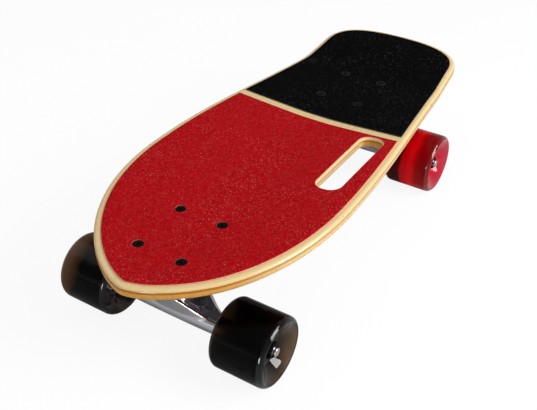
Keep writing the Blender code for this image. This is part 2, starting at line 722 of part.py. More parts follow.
def wing_mesh():
    """The wing from the axle tube up to the pivot, as thick as the tube and thin at its crest."""
    side = hollow_side(WING_ROOT_HALF_WIDTH, WING_ROOT_PULL, WING_END, WING_END_HALF_WIDTH, WING_END_PULL)
    crests = side + [Vector((p.x, -p.y)) for p in reversed(side)]
    bm = bmesh.new()
    rings = []
    for crest in crests:
        section = ((0, -WING_FOOT), (crest.x, -WING_CREST), (crest.x, 0), (0, WING_FOOT))
        rings.append([bm.verts.new((x, crest.y, z)) for x, z in section])
    bm.faces.new(rings[0])
    bridge(bm, rings)
    bm.faces.new(rings[-1])
    return finish_mesh("wing", bm)


def hanger_bore():
    return AXLE_RADIUS + SEAT_GAP


def tube_mesh(name):
    half = [(0, HANGER_WIDTH / 2), (TUBE_RADIUS - TUBE_CHAMFER, HANGER_WIDTH / 2),
            (TUBE_RADIUS, HANGER_WIDTH / 2 - TUBE_CHAMFER), (TUBE_MIDDLE_RADIUS, TUBE_STRAIGHT / 2)]
    profile = half + [(radius, -height) for radius, height in reversed(half)]
    return turned(name, profile, ROUND_SIDES, "Y")


def pivot_stem_mesh():
    """The hanger's round nose and its tapering stem, drawn from the ball's centre down."""
    profile = [(0, PIVOT_BALL_RADIUS)]
    for k in range(1, BALL_STEPS + 1):
        angle = radians(90 + (PIVOT_BALL_END_ANGLE - 90) * k / BALL_STEPS)
        profile.append((PIVOT_BALL_RADIUS * cos(angle), PIVOT_BALL_RADIUS * sin(angle)))
    profile += [(PIVOT_NECK_RADIUS, -PIVOT_NECK_DEPTH), (PIVOT_ROOT_RADIUS, -PIVOT_ROOT_DEPTH),
                (PIVOT_ROOT_RADIUS, -PIVOT_LENGTH), (0, -PIVOT_LENGTH)]
    return turned("pivot_stem", profile, SMALL_SIDES)


def build_hanger(name, steering, ring_centre, materials):
    """The cast hanger: axle tube, bushing ring, pivot nose and the two webs that join them."""
    axle = Vector((AXLE_OFFSET, 0, -TRUCK_HEIGHT)) - ring_centre
    nose = Vector((PIVOT_X, 0, -PIVOT_DEPTH)) - ring_centre
    hanger = piece(name + "_hanger", tube_mesh("hanger_tube"), materials["polished"], steering, axle)
    face = RING_THICKNESS / 2 + RING_LIP
    ring = [(0, face), (RING_RADIUS, face), (RING_RADIUS, -face), (0, -face)]
    combine(hanger, form(name + "_ring_form", turned("ring", ring, RING_SIDES), steering,
                         rotation=turn_about_y(KINGPIN_LEAN)), "UNION")
    combine(hanger, form(name + "_stem_form", pivot_stem_mesh(), steering, nose,
                         turn_about_y(PIVOT_LEAN)), "UNION")

    for label, mesh, heading in (("web", web_mesh(), -axle), ("wing", wing_mesh(), nose - axle)):
        away = heading.normalized()
        side = Vector((0, 1, 0))
        turn = Matrix((away, side, away.cross(side))).transposed()
        combine(hanger, form(name + "_" + label + "_form", mesh, steering, axle, turn.to_euler()), "UNION")

    seat = BUSHING_RADIUS + BUSHING_SEAT_CLEARANCE
    floor = RING_THICKNESS / 2
    seats = [(0, CUT_REACH), (seat, CUT_REACH), (seat, floor), (RING_HOLE_RADIUS, floor),
             (RING_HOLE_RADIUS, -floor), (seat, -floor), (seat, -CUT_REACH), (0, -CUT_REACH)]
    combine(hanger, form(name + "_bushing_seats", turned("bushing_seats", seats, ROUND_SIDES), steering,
                         rotation=turn_about_y(KINGPIN_LEAN)), "DIFFERENCE")
    reach = HANGER_WIDTH
    bore = [(0, reach), (hanger_bore(), reach), (hanger_bore(), -reach), (0, -reach)]
    combine(hanger, form(name + "_axle_bore", turned("axle_bore", bore, SMALL_SIDES, "Y"), steering,
                         axle), "DIFFERENCE")
    return axle


def sleeve_length():
    return 2 * SPEED_WASHER_THICKNESS + 2 * BEARING_WIDTH + SPACER_LENGTH


def wheel_centre_y():
    """From the hanger's end face over the gap and half the sleeve to the wheel's middle."""
    return HANGER_WIDTH / 2 + SEAT_GAP + sleeve_length() / 2


def axle_mesh():
    nut_end = wheel_centre_y() + sleeve_length() / 2 + SEAT_GAP + AXLE_NUT_HEIGHT
    half = nut_end + AXLE_TIP
    profile = [(0, half), (AXLE_RADIUS - AXLE_CHAMFER, half), (AXLE_RADIUS, half - AXLE_CHAMFER),
               (AXLE_RADIUS, AXLE_CHAMFER - half), (AXLE_RADIUS - AXLE_CHAMFER, -half), (0, -half)]
    return turned("axle", profile, SMALL_SIDES, "Y")


def sleeve_mesh():
    """Two speed washers, two inner races and the spacer between them, clamped as one."""
    bore = hanger_bore()
    end = sleeve_length() / 2
    race_end = end - SPEED_WASHER_THICKNESS
    half = [(bore, end), (SPEED_WASHER_RADIUS, end), (SPEED_WASHER_RADIUS, race_end),
            (BEARING_SLEEVE_RADIUS, race_end)]
    profile = half + [(radius, -height) for radius, height in reversed(half)]
    return turned("bearing_sleeve", profile, SMALL_SIDES, "Y")


def wheel_mesh():
    """A soft wheel with rounded edges, dished faces and a bearing seat in each."""
    half = WHEEL_WIDTH / 2
    tread = flats_radius(WHEEL_RADIUS, WHEEL_SIDES)
    seat_radius = BEARING_RADIUS + SEAT_GAP
    seat_floor = SPACER_LENGTH / 2 - SEAT_GAP
    hub_face = SPACER_LENGTH / 2 + BEARING_WIDTH + SEAT_GAP
    edge = WHEEL_EDGE_ROUNDING
    side = [(tread, half - edge)]
    for angle in (45, 90):
        a = radians(angle)
        side.append((tread - edge + edge * cos(a), half - edge + edge * sin(a)))
    side.append((WHEEL_LIP_RADIUS, half))
    side.append((WHEEL_HUB_RADIUS, hub_face + WHEEL_HUB_STEP))
    side.append((seat_radius, hub_face))
    side.append((seat_radius, seat_floor))
    side.append((WHEEL_BORE_RADIUS, seat_floor))
    profile = side[::-1] + [(radius, -height) for radius, height in side]
    return turned("wheel", profile, WHEEL_SIDES, "Y")


def race_mesh():
    """The bearing's outer race with its shields."""
    inner = BEARING_SLEEVE_RADIUS + RACE_GAP
    half = BEARING_WIDTH / 2
    profile = [(inner, half), (BEARING_RADIUS, half), (BEARING_RADIUS, -half), (inner, -half)]
    return turned("outer_race", profile, ROUND_SIDES, "Y")


def build_wheels(name, steering, axle, left, materials, tyre):
    """The axle and, at each end, a wheel on two bearings held by a locknut.

    The rider's left is +Y of the truck that faces forwards (left 1) and -Y of the other (left -1).
    """
    meshes = {"sleeve": sleeve_mesh(), "wheel": wheel_mesh(), "race": race_mesh()}
    nut = hexagon("axle_nut", AXLE_NUT_FLATS, hanger_bore(), AXLE_NUT_HEIGHT, 0)
    piece(name + "_axle", axle_mesh(), materials["steel"], steering, axle)
    for side, y in (("left", left), ("right", -left)):
        label = name + "_" + side
        hub = frame(label + "_wheel_centre", steering, axle + Vector((0, y * wheel_centre_y(), 0)))
        piece(label + "_wheel", meshes["wheel"], materials[tyre], hub)
        piece(label + "_bearing_sleeve", meshes["sleeve"], materials["steel"], hub)
        for place, offset in (("outer", y), ("inner", -y)):
            shift = offset * (SPACER_LENGTH + BEARING_WIDTH) / 2
            piece(label + "_" + place + "_bearing", meshes["race"], materials["chrome"], hub, (0, shift, 0))
        nut_face = y * (sleeve_length() / 2 + SEAT_GAP)
        piece(label + "_axle_nut", nut, materials["black_nut"], hub, (0, nut_face, 0), (-y * pi / 2, 0, 0))


def build_truck(name, board, x, heading, materials, deck, grip, tyre):
    """One truck. The rear one is the same turned half round, so its kingpin also faces inwards."""
    truck = frame(name + "_truck", board, (x, 0, 0), (0, 0, heading))
    holes = form(name + "_bolt_holes", bolt_hole_cutter("bolt_holes"), truck)
    combine(deck, holes, "DIFFERENCE")
    combine(grip, holes, "DIFFERENCE")
    build_baseplate(name + "_baseplate", truck, materials, holes)
    pivot_centre = (PIVOT_X, 0, -PIVOT_DEPTH)
    piece(name + "_pivot_cup", pivot_cup_mesh(), materials["cup"], truck, pivot_centre,
          turn_about_y(PIVOT_LEAN))
    build_kingpin(name, truck, materials)

    bolt = bolt_mesh()
    nut_top = -PLATE_THICKNESS - SEAT_GAP
    locknut = hexagon("locknut", LOCKNUT_FLATS, flats_radius(BOLT_RADIUS + BOLT_CLEARANCE, 6), nut_top,
                      nut_top - LOCKNUT_HEIGHT, sides=6)
    for number, (bolt_x, bolt_y) in enumerate(bolt_places(), 1):
        piece(name + "_mounting_bolt_" + str(number), bolt, materials["black_bolt"], truck,
              (bolt_x, bolt_y, 0))
        piece(name + "_locknut_" + str(number), locknut, materials["zinc"], truck, (bolt_x, bolt_y, 0))

    lean = Euler(turn_about_y(KINGPIN_LEAN)).to_matrix()
    ring_centre = Vector((KINGPIN_X, 0, 0)) + lean @ Vector((0, 0, -kingpin_stack()["ring_middle"]))
    steering = frame(name + "_steering", truck, ring_centre)
    axle = build_hanger(name, steering, ring_centre, materials)
    build_wheels(name, steering, axle, 1 if heading == 0 else -1, materials, tyre)


def main():
    clear_scene()
    materials = {
        "maple": paint("lacquered maple", (0.78, 0.56, 0.30), 0.25),
        "red_grit": paint("red grip tape", (0.55, 0.012, 0.02), 0.85),
        "black_grit": paint("black grip tape", (0.02, 0.02, 0.02), 0.9),
        "cast": paint("cast aluminium", (0.62, 0.62, 0.64), 0.4, 1.0),
        "polished": paint("polished aluminium", (0.78, 0.78, 0.80), 0.18, 1.0),
        "steel": paint("bright steel", (0.70, 0.70, 0.70), 0.25, 1.0),
        "zinc": paint("zinc-plated steel", (0.60, 0.62, 0.66), 0.3, 1.0),
        "chrome": paint("bearing steel", (0.75, 0.75, 0.76), 0.15, 1.0),
        "black_nut": paint("black locknut", (0.02, 0.02, 0.02), 0.35, 0.4),
        "black_bolt": paint("blackened bolt", (0.02, 0.02, 0.02), 0.4, 0.6),
        "bushing": paint("black urethane", (0.02, 0.02, 0.022), 0.35),
        "cup": paint("pivot cup plastic", (0.03, 0.03, 0.03), 0.5),
        "smoke": paint("smoky urethane", (0.015, 0.012, 0.01), 0.12),
        "red": paint("red urethane", (0.55, 0.005, 0.03), 0.12),
    }
    board = frame("board", None, (0, 0, DECK_BOTTOM_Z))
    deck, nose_grip, tail_grip = build_deck(board, materials)
    build_truck("front", board, FRONT_TRUCK_X, 0.0, materials, deck, nose_grip, "smoke")
    build_truck("rear", board, REAR_TRUCK_X, pi, materials, deck, tail_grip, "red")


main()
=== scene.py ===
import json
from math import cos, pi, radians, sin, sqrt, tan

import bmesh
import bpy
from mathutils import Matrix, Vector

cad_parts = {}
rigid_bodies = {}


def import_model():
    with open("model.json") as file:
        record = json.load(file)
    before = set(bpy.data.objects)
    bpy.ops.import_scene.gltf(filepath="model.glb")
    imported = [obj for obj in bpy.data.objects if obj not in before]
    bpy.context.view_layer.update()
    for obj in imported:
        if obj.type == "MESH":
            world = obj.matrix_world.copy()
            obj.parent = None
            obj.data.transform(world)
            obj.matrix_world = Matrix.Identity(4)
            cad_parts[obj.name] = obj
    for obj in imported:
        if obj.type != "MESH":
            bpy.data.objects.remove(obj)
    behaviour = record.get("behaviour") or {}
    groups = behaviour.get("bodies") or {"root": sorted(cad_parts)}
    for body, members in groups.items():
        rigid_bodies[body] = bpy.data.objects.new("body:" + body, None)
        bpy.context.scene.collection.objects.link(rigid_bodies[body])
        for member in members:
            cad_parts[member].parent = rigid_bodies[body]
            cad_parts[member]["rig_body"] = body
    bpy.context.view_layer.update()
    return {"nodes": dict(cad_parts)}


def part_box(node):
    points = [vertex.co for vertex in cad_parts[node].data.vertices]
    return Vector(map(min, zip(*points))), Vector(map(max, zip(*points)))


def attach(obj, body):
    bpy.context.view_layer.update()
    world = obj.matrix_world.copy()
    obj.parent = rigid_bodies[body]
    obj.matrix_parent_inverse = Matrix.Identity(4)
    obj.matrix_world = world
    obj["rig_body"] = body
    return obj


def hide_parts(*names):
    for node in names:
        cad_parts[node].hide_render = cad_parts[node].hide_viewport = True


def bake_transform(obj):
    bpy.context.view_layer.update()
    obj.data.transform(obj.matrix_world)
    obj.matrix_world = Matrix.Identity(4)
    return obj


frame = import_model()

bl_info = {
    "name": "Cruiser skateboard",
    "version": (1, 0, 0),
    "blender": (4, 5, 0),
    "location": "3D View > Sidebar > Cruiser",
    "description": "Dresses the packed solids of a cruiser skateboard in finished shapes and materials",
    "category": "Add Mesh",
}

DECK_LOW, DECK_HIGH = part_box("deck")
PLATE_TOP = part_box("front_baseplate")[1].z
FRONT, REAR = "front", "rear"
WHEELS = (("front_left", 1, "smoke"), ("front_right", -1, "smoke"),
          ("rear_left", 1, "red_wheel"), ("rear_right", -1, "red_wheel"))

# The deck's outline from above: how far each curve's handles reach
NOSE_TIP_PULL = 0.0135
NOSE_FLANK_PULL = 0.1314
TAPER_PULL = 0.0964
SHOULDER_PULL = 0.1134
SHOULDER_WIDTH = 0.1532
SHOULDER_ANGLE = 3.4
TAIL_CORNER_LENGTH = 0.0399
TAIL_CORNER_PULL = 0.0335
TAIL_END_PULL = 0.0398
WIDEST_X = 0.0774
OUTLINE_STEPS = (44, 40, 32)

# The mould that presses the deck
CONCAVE_POWER = 1.15
CONCAVE_MIDDLE_X = 0.0492
CONCAVE_FRONT_REACH = 0.436
CONCAVE_REAR_REACH = 0.2166
FADE_POWER = 1.5
PRESS_GRID = (0.0075, 0.005)
TAPE_ROUNDING = 0.0005

# Sections that scene pieces share with the solids
SEAT_GAP = 0.0003
BOLT_SPACING = (0.05398, 0.0413)
PLATE_SIZE = (0.074, 0.054, 0.0056)
KINGPIN_X = -0.0040
KINGPIN_RADIUS = 0.00476
PIVOT_X = 0.0290
PIVOT_DEPTH = 0.0170
PIVOT_BALL_RADIUS = 0.0064
CUP_WALL = 0.0018
CUP_MOUTH = 0.0024
AXLE_OFFSET = 0.0125
AXLE_RADIUS = 0.00397
HEAD_RIM = 0.0005
HEAD_DEPTH = 0.0029
TOP_WASHER_DEPTH = 0.0153
WASHER_BACK = 0.0015
BARREL_HEIGHT = 0.0170
CONE_HEIGHT = 0.0125
CONE_RADIUS = 0.0098
RING_HALF = 0.0045

# Locknuts: across the flats, height, height of the collar and its radius
NUTS = {"locknut": (0.0095, 0.0050, 0.0012, 0.0040),
        "kingpin_nut": (0.0143, 0.0082, 0.0020, 0.0062),
        "axle_nut": (0.0127, 0.0068, 0.0018, 0.0055)}
NUT_CLEARANCE = 0.0001

# A nut's chamfer, and the hollows at the top and foot of its bore, as shares of its own sizes
CHAMFER_FACE = 0.96
CHAMFER_WAIST = 1.03
CHAMFER_SLOPE = 0.75
NUT_POCKET = 1.35
NUT_MOUTH = 1.2

# Threads: pitch and depth
BOLT_THREAD = (0.0007, 0.0003)
KINGPIN_THREAD = (0.0011, 0.0005)
AXLE_THREAD = (0.0012, 0.0004)

# Mounting bolts, the cross recess in their heads and the holes in the tape round them
BOLT_PROTRUSION = 0.0015
BOLT_THREAD_TOP = -0.004
BOLT_CHAMFER = 0.0005
RECESS_SIZE = (0.0046, 0.0009, 0.0044)
RECESS_TAPER = (0.45, 0.7, 1.0)
WORN_DEPTH = 0.00015
WORN_REACH = 0.00022
WORN_WIDTH = 0.0004
TORN_EDGE = 0.0001
BOLTED_REACH = 0.0065
WINDOW_INSET = 0.0002

# Castings: the voxels they are melted in and how often they are smoothed
BASEPLATE_VOXEL = 0.0006
BASEPLATE_SMOOTHING = 6
HANGER_VOXEL = 0.00055
HANGER_SMOOTHING = 8

# Baseplates: corners, what is machined off the top, boss, housing and ribs
PLATE_CORNER = 0.008
PLATE_CHAMFER = 0.001
PLATE_STOCK = 0.0008
BOSS_FOOT = (0.0166, -0.0028)
BOSS_FACE = (0.0136, -0.0135)
HOUSING_RADIUS = 0.0118
HOUSING_WALL = 0.0024
HOUSING_MOUTH = -0.0012
RIB_SIZE = (0.027, 0.0040)
RIB_DEPTHS = (-0.0125, -0.004)
RIB_PLACE = (0.0125, 0.0085)
RIB_CORNER = 0.0008

# Kingpins, bushings and cup washers
KINGPIN_HEAD = 0.0050
KINGPIN_HEAD_MIDDLE = -0.0039
SHANK_TOP = -0.003
KINGPIN_PROTRUSION = 0.0020
KINGPIN_CHAMFER = 0.0011
KINGPIN_THREAD_FOOT = 0.0012
KINGPIN_THREAD_RUN = 0.002
BUSHING_BEND = 0.0050
BUSHING_BEND_START = 0.0005
BUSHING_FUNNEL = 0.0013
FUNNEL_ROUNDING = 0.0004
BUSHING_WAIST = ((0.0004, 0.0085), (0.0001, 0.0125))
CONE_DRAW = 0.0008
WASHER_WALL = 0.0011
WASHER_LIP = 0.0018
WASHER_ROOM = 0.0006
ROAD_LIP_ROOM = 0.00045

# Hangers: tube, bushing ring, stem, web and wing. The two SIDE values are for hollow_side
RING_STOCK = 0.0012
TUBE_SWELL = 0.0007
TUBE_MIDDLE = 0.020
STEM = ((0.0050, -0.0083), (0.0084, -0.0222), (0.0084, -0.0370))
SEAT_ROOM = 0.0009
RING_BORE = 0.008
WEB_FILLET = 0.012
WEB_START = 0.0065
WEB_ROOT = 0.0605
WEB_SIDE = (WEB_ROOT, 0.022, 0.0275, 0.016, (0.0125, 0.015))
WEB_STEPS = 15
WING_SIDE = (0.047, 0.013, 0.0215, 0.0084, (0.008, 0.0145))
WING_HALF = 0.0074
WING_EDGE = -0.0022

# Axles: the chamfer and where the thread and the plain rod start, inwards from each end
AXLE_CHAMFER = 0.0019
AXLE_THREAD_START = 0.0020
AXLE_THREAD_END = 0.011
AXLE_SHOULDER = 0.012

# Bearings: shields, inner race, speed washer and spacer tube
SHIELD_RADIUS = 0.0092
SHIELD_BORE = 0.0065
SHIELD_DEPTH = 0.0005
WASHER_RADIUS = 0.0066
RACE_RADIUS = 0.0060
SPACER_RADIUS = 0.0055

# Wheels: the dish, and the painted glow for light coming through the thin wall, on the rounded edge and in
# the dish, first for the outer face, then the inner one
DISH_SWELL = 0.0008
LIP_DROP = 0.0004
HUB_STEP = 0.0012
TREAD_FLAT = 0.005
DISH_SHARES = (0.15, 0.3, 0.45, 0.6, 0.75, 0.9)
LIP_REACH = 0.0004
TREAD_REACH = 0.0001
OUTER_PAINTED_GLOW = (0.45, 1.35)
INNER_PAINTED_GLOW = (0.04, 0.7)

# How far the cutting tools reach past what they cut
CUT_REACH = 0.030


def box_centre(node):
    """The middle of a CAD solid's box."""
    low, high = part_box(node)
    return (low + high) / 2


BOLT_SPOTS = {truck: [box_centre(f"{truck}_mounting_bolt_{number}") for number in (1, 2, 3, 4)]
              for truck in (FRONT, REAR)}
ALL_BOLTS = BOLT_SPOTS[FRONT] + BOLT_SPOTS[REAR]
NOSE_START = max(spot.x for spot in BOLT_SPOTS[FRONT])
KICK_START = (BOLT_SPOTS[REAR][0].x + BOLT_SPOTS[REAR][3].x) / 2 - PLATE_SIZE[0] / 2

# How finely round pieces are turned
FINE = 144
ROUND = 96
SMALL = 48


def metres(name, default, description):
    return bpy.props.FloatProperty(name=name, description=description, default=default, min=0.0,
                                   precision=5, unit="LENGTH")


def degrees(name, default, description):
    return bpy.props.FloatProperty(name=name, description=description, default=radians(default),
                                   subtype="ANGLE", unit="ROTATION")


def colour(name, default, description):
    return bpy.props.FloatVectorProperty(name=name, description=description, default=default, size=3,
                                         min=0.0, max=1.0, subtype="COLOR")


class CruiserDeckSizes(bpy.types.PropertyGroup):
    """Sizes of the deck and its grip tapes"""
    length: metres("Length", DECK_HIGH.x - DECK_LOW.x, "Deck from nose to tail")
    width: metres("Width", 0.2004, "Deck at its widest, before pressing")
    thickness: metres("Thickness", 0.0102, "All plies together")
    edge_rounding: metres("Edge rounding", 0.0035, "Radius of the deck's rounded edges")
    concave: metres("Concave", 0.0076, "How far the sides rise over the middle")
    concave_flat: metres("Flat middle", 0.026, "Width of the flat strip along the middle")
    nose_lift: metres("Nose lift", 0.0023, "How far the nose rises")
    kick_angle: degrees("Kick angle", 9.4, "Rise of the tail")
    kick_radius: metres("Kick radius", 0.080, "Bend between the flat deck and the tail")
    handle_length: metres("Handle length", 0.0985, "Carry handle along the deck")
    handle_width: metres("Handle width", 0.0225, "Carry handle across the deck")
    handle_corner: metres("Handle corner", 0.0096, "Corner radius of the carry handle")
    handle_x: metres("Handle place", 0.0109, "Middle of the handle, ahead of the deck's middle")
    handle_y: metres("Handle offset", 0.0662, "Middle of the handle, left of the middle line")
    handle_rounding: metres("Handle rounding", 0.0013, "Radius of the handle's rounded rims")
    handle_underside: metres("Handle's lower rounding", 0.0030, "Radius of the handle's lower rim")
    grip_top: metres("Grip height", 0.0113, "Grip surface above the deck's underside")
    grip_floor: metres("Grip floor", 0.0103, "Back of the grip tape above the deck's underside")
    nose_margin: metres("Nose margin", 0.0059, "Bare wood beside the front tape")
    tail_margin: metres("Tail margin", 0.0053, "Bare wood beside the rear tape")
    front_seam: metres("Front tape's end", 0.0426, "How far the front tape reaches behind the middle")
    rear_seam: metres("Rear tape's start", 0.0526, "How far behind the middle the rear tape starts")


class CruiserTruckSizes(bpy.types.PropertyGroup):
    """Sizes of the trucks and the pieces on them"""
    height: metres("Truck height", 0.0541, "Deck's underside to the axle's middle")
    kingpin_lean: degrees("Kingpin lean", 8.0, "Lean of the kingpin")
    pivot_lean: degrees("Pivot lean", 40.0, "Lean of the pivot nose")
    hanger_width: metres("Hanger width", 0.1255, "Hanger from end to end")
    tube_radius: metres("Tube radius", 0.0080, "Hanger's axle tube at its ends")
    ring_radius: metres("Ring radius", 0.0166, "Outside of the hanger's bushing ring")
    web_thickness: metres("Web thickness", 0.0090, "Web between tube and ring")
    bushing_radius: metres("Bushing radius", 0.0122, "Outside of the bushings")
    bolt_head_radius: metres("Bolt head radius", 0.0046, "Head of a mounting bolt")
    bolt_radius: metres("Bolt radius", 0.0023, "Shank of a mounting bolt")


class CruiserWheelSizes(bpy.types.PropertyGroup):
    """Sizes of the wheels and bearings"""
    edge_rounding: metres("Edge rounding", 0.0051, "Radius between tread and face")
    lip_radius: metres("Lip radius", 0.0268, "Where the wheel's rounded edge turns into the dish")
    hub_radius: metres("Hub radius", 0.0140, "Foot of the dish")
    bore_radius: metres("Bore radius", 0.0088, "Bore between the bearings")
    bearing_radius: metres("Bearing radius", 0.0110, "Outside of a bearing")
    bearing_width: metres("Bearing width", 0.0070, "Width of a bearing")
    spacer: metres("Spacer", 0.0100, "Spacer between the bearings")
    washer: metres("Speed washer", 0.0010, "Thickness of a speed washer")


class CruiserColours(bpy.types.PropertyGroup):
    """Colours of the finishes, as linear RGB"""
    maple: colour("Maple", (0.67, 0.50, 0.255), "Face veneer under clear lacquer")
    amber: colour("Amber ply", (0.52, 0.245, 0.036), "Plies seen at the edge")
    glue: colour("Dark ply", (0.31, 0.115, 0.010), "Darkest ply and the lines between plies")
    stain: colour("Underside stain", (0.075, 0.010, 0.008), "Bottom veneer")
    red_grit: colour("Red grip tape", (0.335, 0.0015, 0.004), "Front tape")
    red_fleck: colour("Red tape's flecks", (0.62, 0.14, 0.125), "Pale grains in the front tape")
    red_edge: colour("Red tape's edge", (0.88, 0.47, 0.33), "Where the front tape is filed down")
    black_grit: colour("Black grip tape", (0.0012, 0.0012, 0.0013), "Rear tape")
    black_fleck: colour("Black tape's flecks", (0.075, 0.078, 0.082), "Pale grains in the rear tape")
    black_edge: colour("Black tape's edge", (0.20, 0.18, 0.15), "Where the rear tape is filed down")
    polish: colour("Polished aluminium", (0.88, 0.87, 0.89), "Hangers")
    cast: colour("Cast aluminium", (0.15, 0.15, 0.16), "Baseplates")
    steel: colour("Bright steel", (0.70, 0.70, 0.70), "Axles and bearing sleeves")
    zinc: colour("Zinc plating", (0.56, 0.58, 0.62), "Kingpins, washers and locknuts")
    chrome: colour("Bearing steel", (0.70, 0.70, 0.71), "Outer races")
    black_metal: colour("Black metal", (0.0032, 0.003, 0.0034), "Bolts and axle nuts")
    rubber: colour("Black urethane", (0.012, 0.012, 0.013), "Bushings and seals")
    smoke: colour("Smoky urethane", (0.014, 0.010, 0.008), "Front wheels where they are thick")
    # Painted glow: the colour where light comes through the front wheels' thin wall
    smoke_painted_glow: colour("Thin smoky urethane", (0.95, 0.64, 0.36), "Front wheels where light comes through")
    red_wheel: colour("Red urethane", (0.95, 0.001, 0.005), "Rear wheels")
    # The deep and dim reds are painted shade: the deck's shadow and the inner bearing over the rear wheels'
    # inner third, and the outer bearing's shade further out
    red_painted_shadow: colour("Deep red urethane", (0.05, 0.001, 0.002), "Rear wheels over their inner bearings")
    red_painted_shade: colour("Dim red urethane", (0.32, 0.001, 0.005), "Rear wheels over their outer bearings")
    # Painted glow: the colour where light comes through the rear wheels' thin wall
    red_painted_glow: colour("Thin red urethane", (0.62, 0.012, 0.045), "Rear wheels where light comes through")
    floor: colour("Floor", (0.90, 0.90, 0.90), "Plain pale floor")


class Value:
    """A shader socket that takes part in Python sums."""

    def __init__(self, wiring, socket):
        self.wiring = wiring
        self.socket = socket

    def maths(self, operation, first, second):
        return self.wiring.node("ShaderNodeMath", {0: first, 1: second}, operation=operation)

    def __add__(self, other):
        return self.maths("ADD", self, other)

    def __radd__(self, other):
        return self.maths("ADD", other, self)

    def __sub__(self, other):
        return self.maths("SUBTRACT", self, other)

    def __rsub__(self, other):
        return self.maths("SUBTRACT", other, self)

    def __mul__(self, other):
        return self.maths("MULTIPLY", self, other)

    def __rmul__(self, other):
        return self.maths("MULTIPLY", other, self)

    def __gt__(self, other):
        return self.maths("GREATER_THAN", self, other)

    def __lt__(self, other):
        return self.maths("LESS_THAN", self, other)


class Wiring:
    """A node tree in the making."""

    def __init__(self, tree):
        self.tree = tree

    def feed(self, socket, value):
        if isinstance(value, Value):
            self.tree.links.new(value.socket, socket)
        elif isinstance(value, (tuple, Vector)) and len(value) == 3 and socket.type == "RGBA":
            socket.default_value = (*value, 1.0)
        else:
            socket.default_value = value

    def node(self, kind, inputs=None, output=0, stops=None, **settings):
        """Add a node: first its settings and ramp stops, then its inputs."""
        node = self.tree.nodes.new(kind)
        for setting, value in settings.items():
            setattr(node, setting, value)
        if stops:
            ramp = node.color_ramp.elements
            while len(ramp) < len(stops):
                ramp.new(0.5)
            for element, (position, tone) in zip(ramp, stops):
                element.position = position
                element.color = (*tone, 1.0) if isinstance(tone, tuple) else (tone, tone, tone, 1.0)
        for socket, value in (inputs or {}).items():
            self.feed(node.inputs[socket], value)
        return Value(self, node.outputs[output])

    def fade(self, value, low, high, first=0.0, second=1.0):
        """Map low..high to first..second, smoothly and clamped."""
        inputs = {"Value": value, "From Min": low, "From Max": high, "To Min": first, "To Max": second}
        return self.node("ShaderNodeMapRange", inputs, interpolation_type="SMOOTHSTEP")

    def rays(self):
        """Three values: 1 for a camera ray, 1 for a transmitted ray and 1 for a mirrored ray."""
        return [self.node("ShaderNodeLightPath", output=f"Is {kind} Ray")
                for kind in ("Camera", "Transmission", "Glossy")]


class Finish(Wiring):
    """A material in the making."""

    def __init__(self, name, **constants):
        self.material = bpy.data.materials.new(name)
        self.material.use_nodes = True
        super().__init__(self.material.node_tree)
        self.shader = self.tree.nodes["Principled BSDF"]
        for socket, value in constants.items():
            self.shader.inputs[socket.replace("_", " ")].default_value = value

    def place(self, scale=(1.0, 1.0, 1.0)):
        """Object coordinates, stretched."""
        spot = self.node("ShaderNodeTexCoord", output=3)
        return self.node("ShaderNodeVectorMath", {0: spot, 1: scale}, operation="MULTIPLY")

    def attribute(self, name):
        return self.node("ShaderNodeAttribute", output="Fac", attribute_name=name)

    def noise(self, scale, detail, roughness=0.5, where=None):
        inputs = {"Scale": scale, "Detail": detail, "Roughness": roughness}
        inputs["Vector"] = where or self.place()
        return self.node("ShaderNodeTexNoise", inputs)

    def grains(self, scale, output="Distance", where=None):
        inputs = {"Scale": scale, "Vector": where or self.place()}
        return self.node("ShaderNodeTexVoronoi", inputs, output=output)

    def chances(self, scale, where=None):
        """A number between 0 and 1 for each grain, even all over it."""
        return self.node("ShaderNodeSeparateColor", {"Color": self.grains(scale, "Color", where)})

    def mix(self, share, first, second):
        """Blend two colours."""
        return self.node("ShaderNodeMix", {0: share, 6: first, 7: second}, output=2, data_type="RGBA")

    def bump(self, height, strength, depth):
        normal = self.node("ShaderNodeBump", {"Height": height, "Strength": strength, "Distance": depth})
        self.feed(self.shader.inputs["Normal"], normal)

    def set(self, **values):
        for socket, value in values.items():
            self.feed(self.shader.inputs[socket.replace("_", " ")], value)
        return self.material


def shade(tone, share):
    """A tone made darker or lighter."""
    return tuple(min(part * share, 1.0) for part in tone)


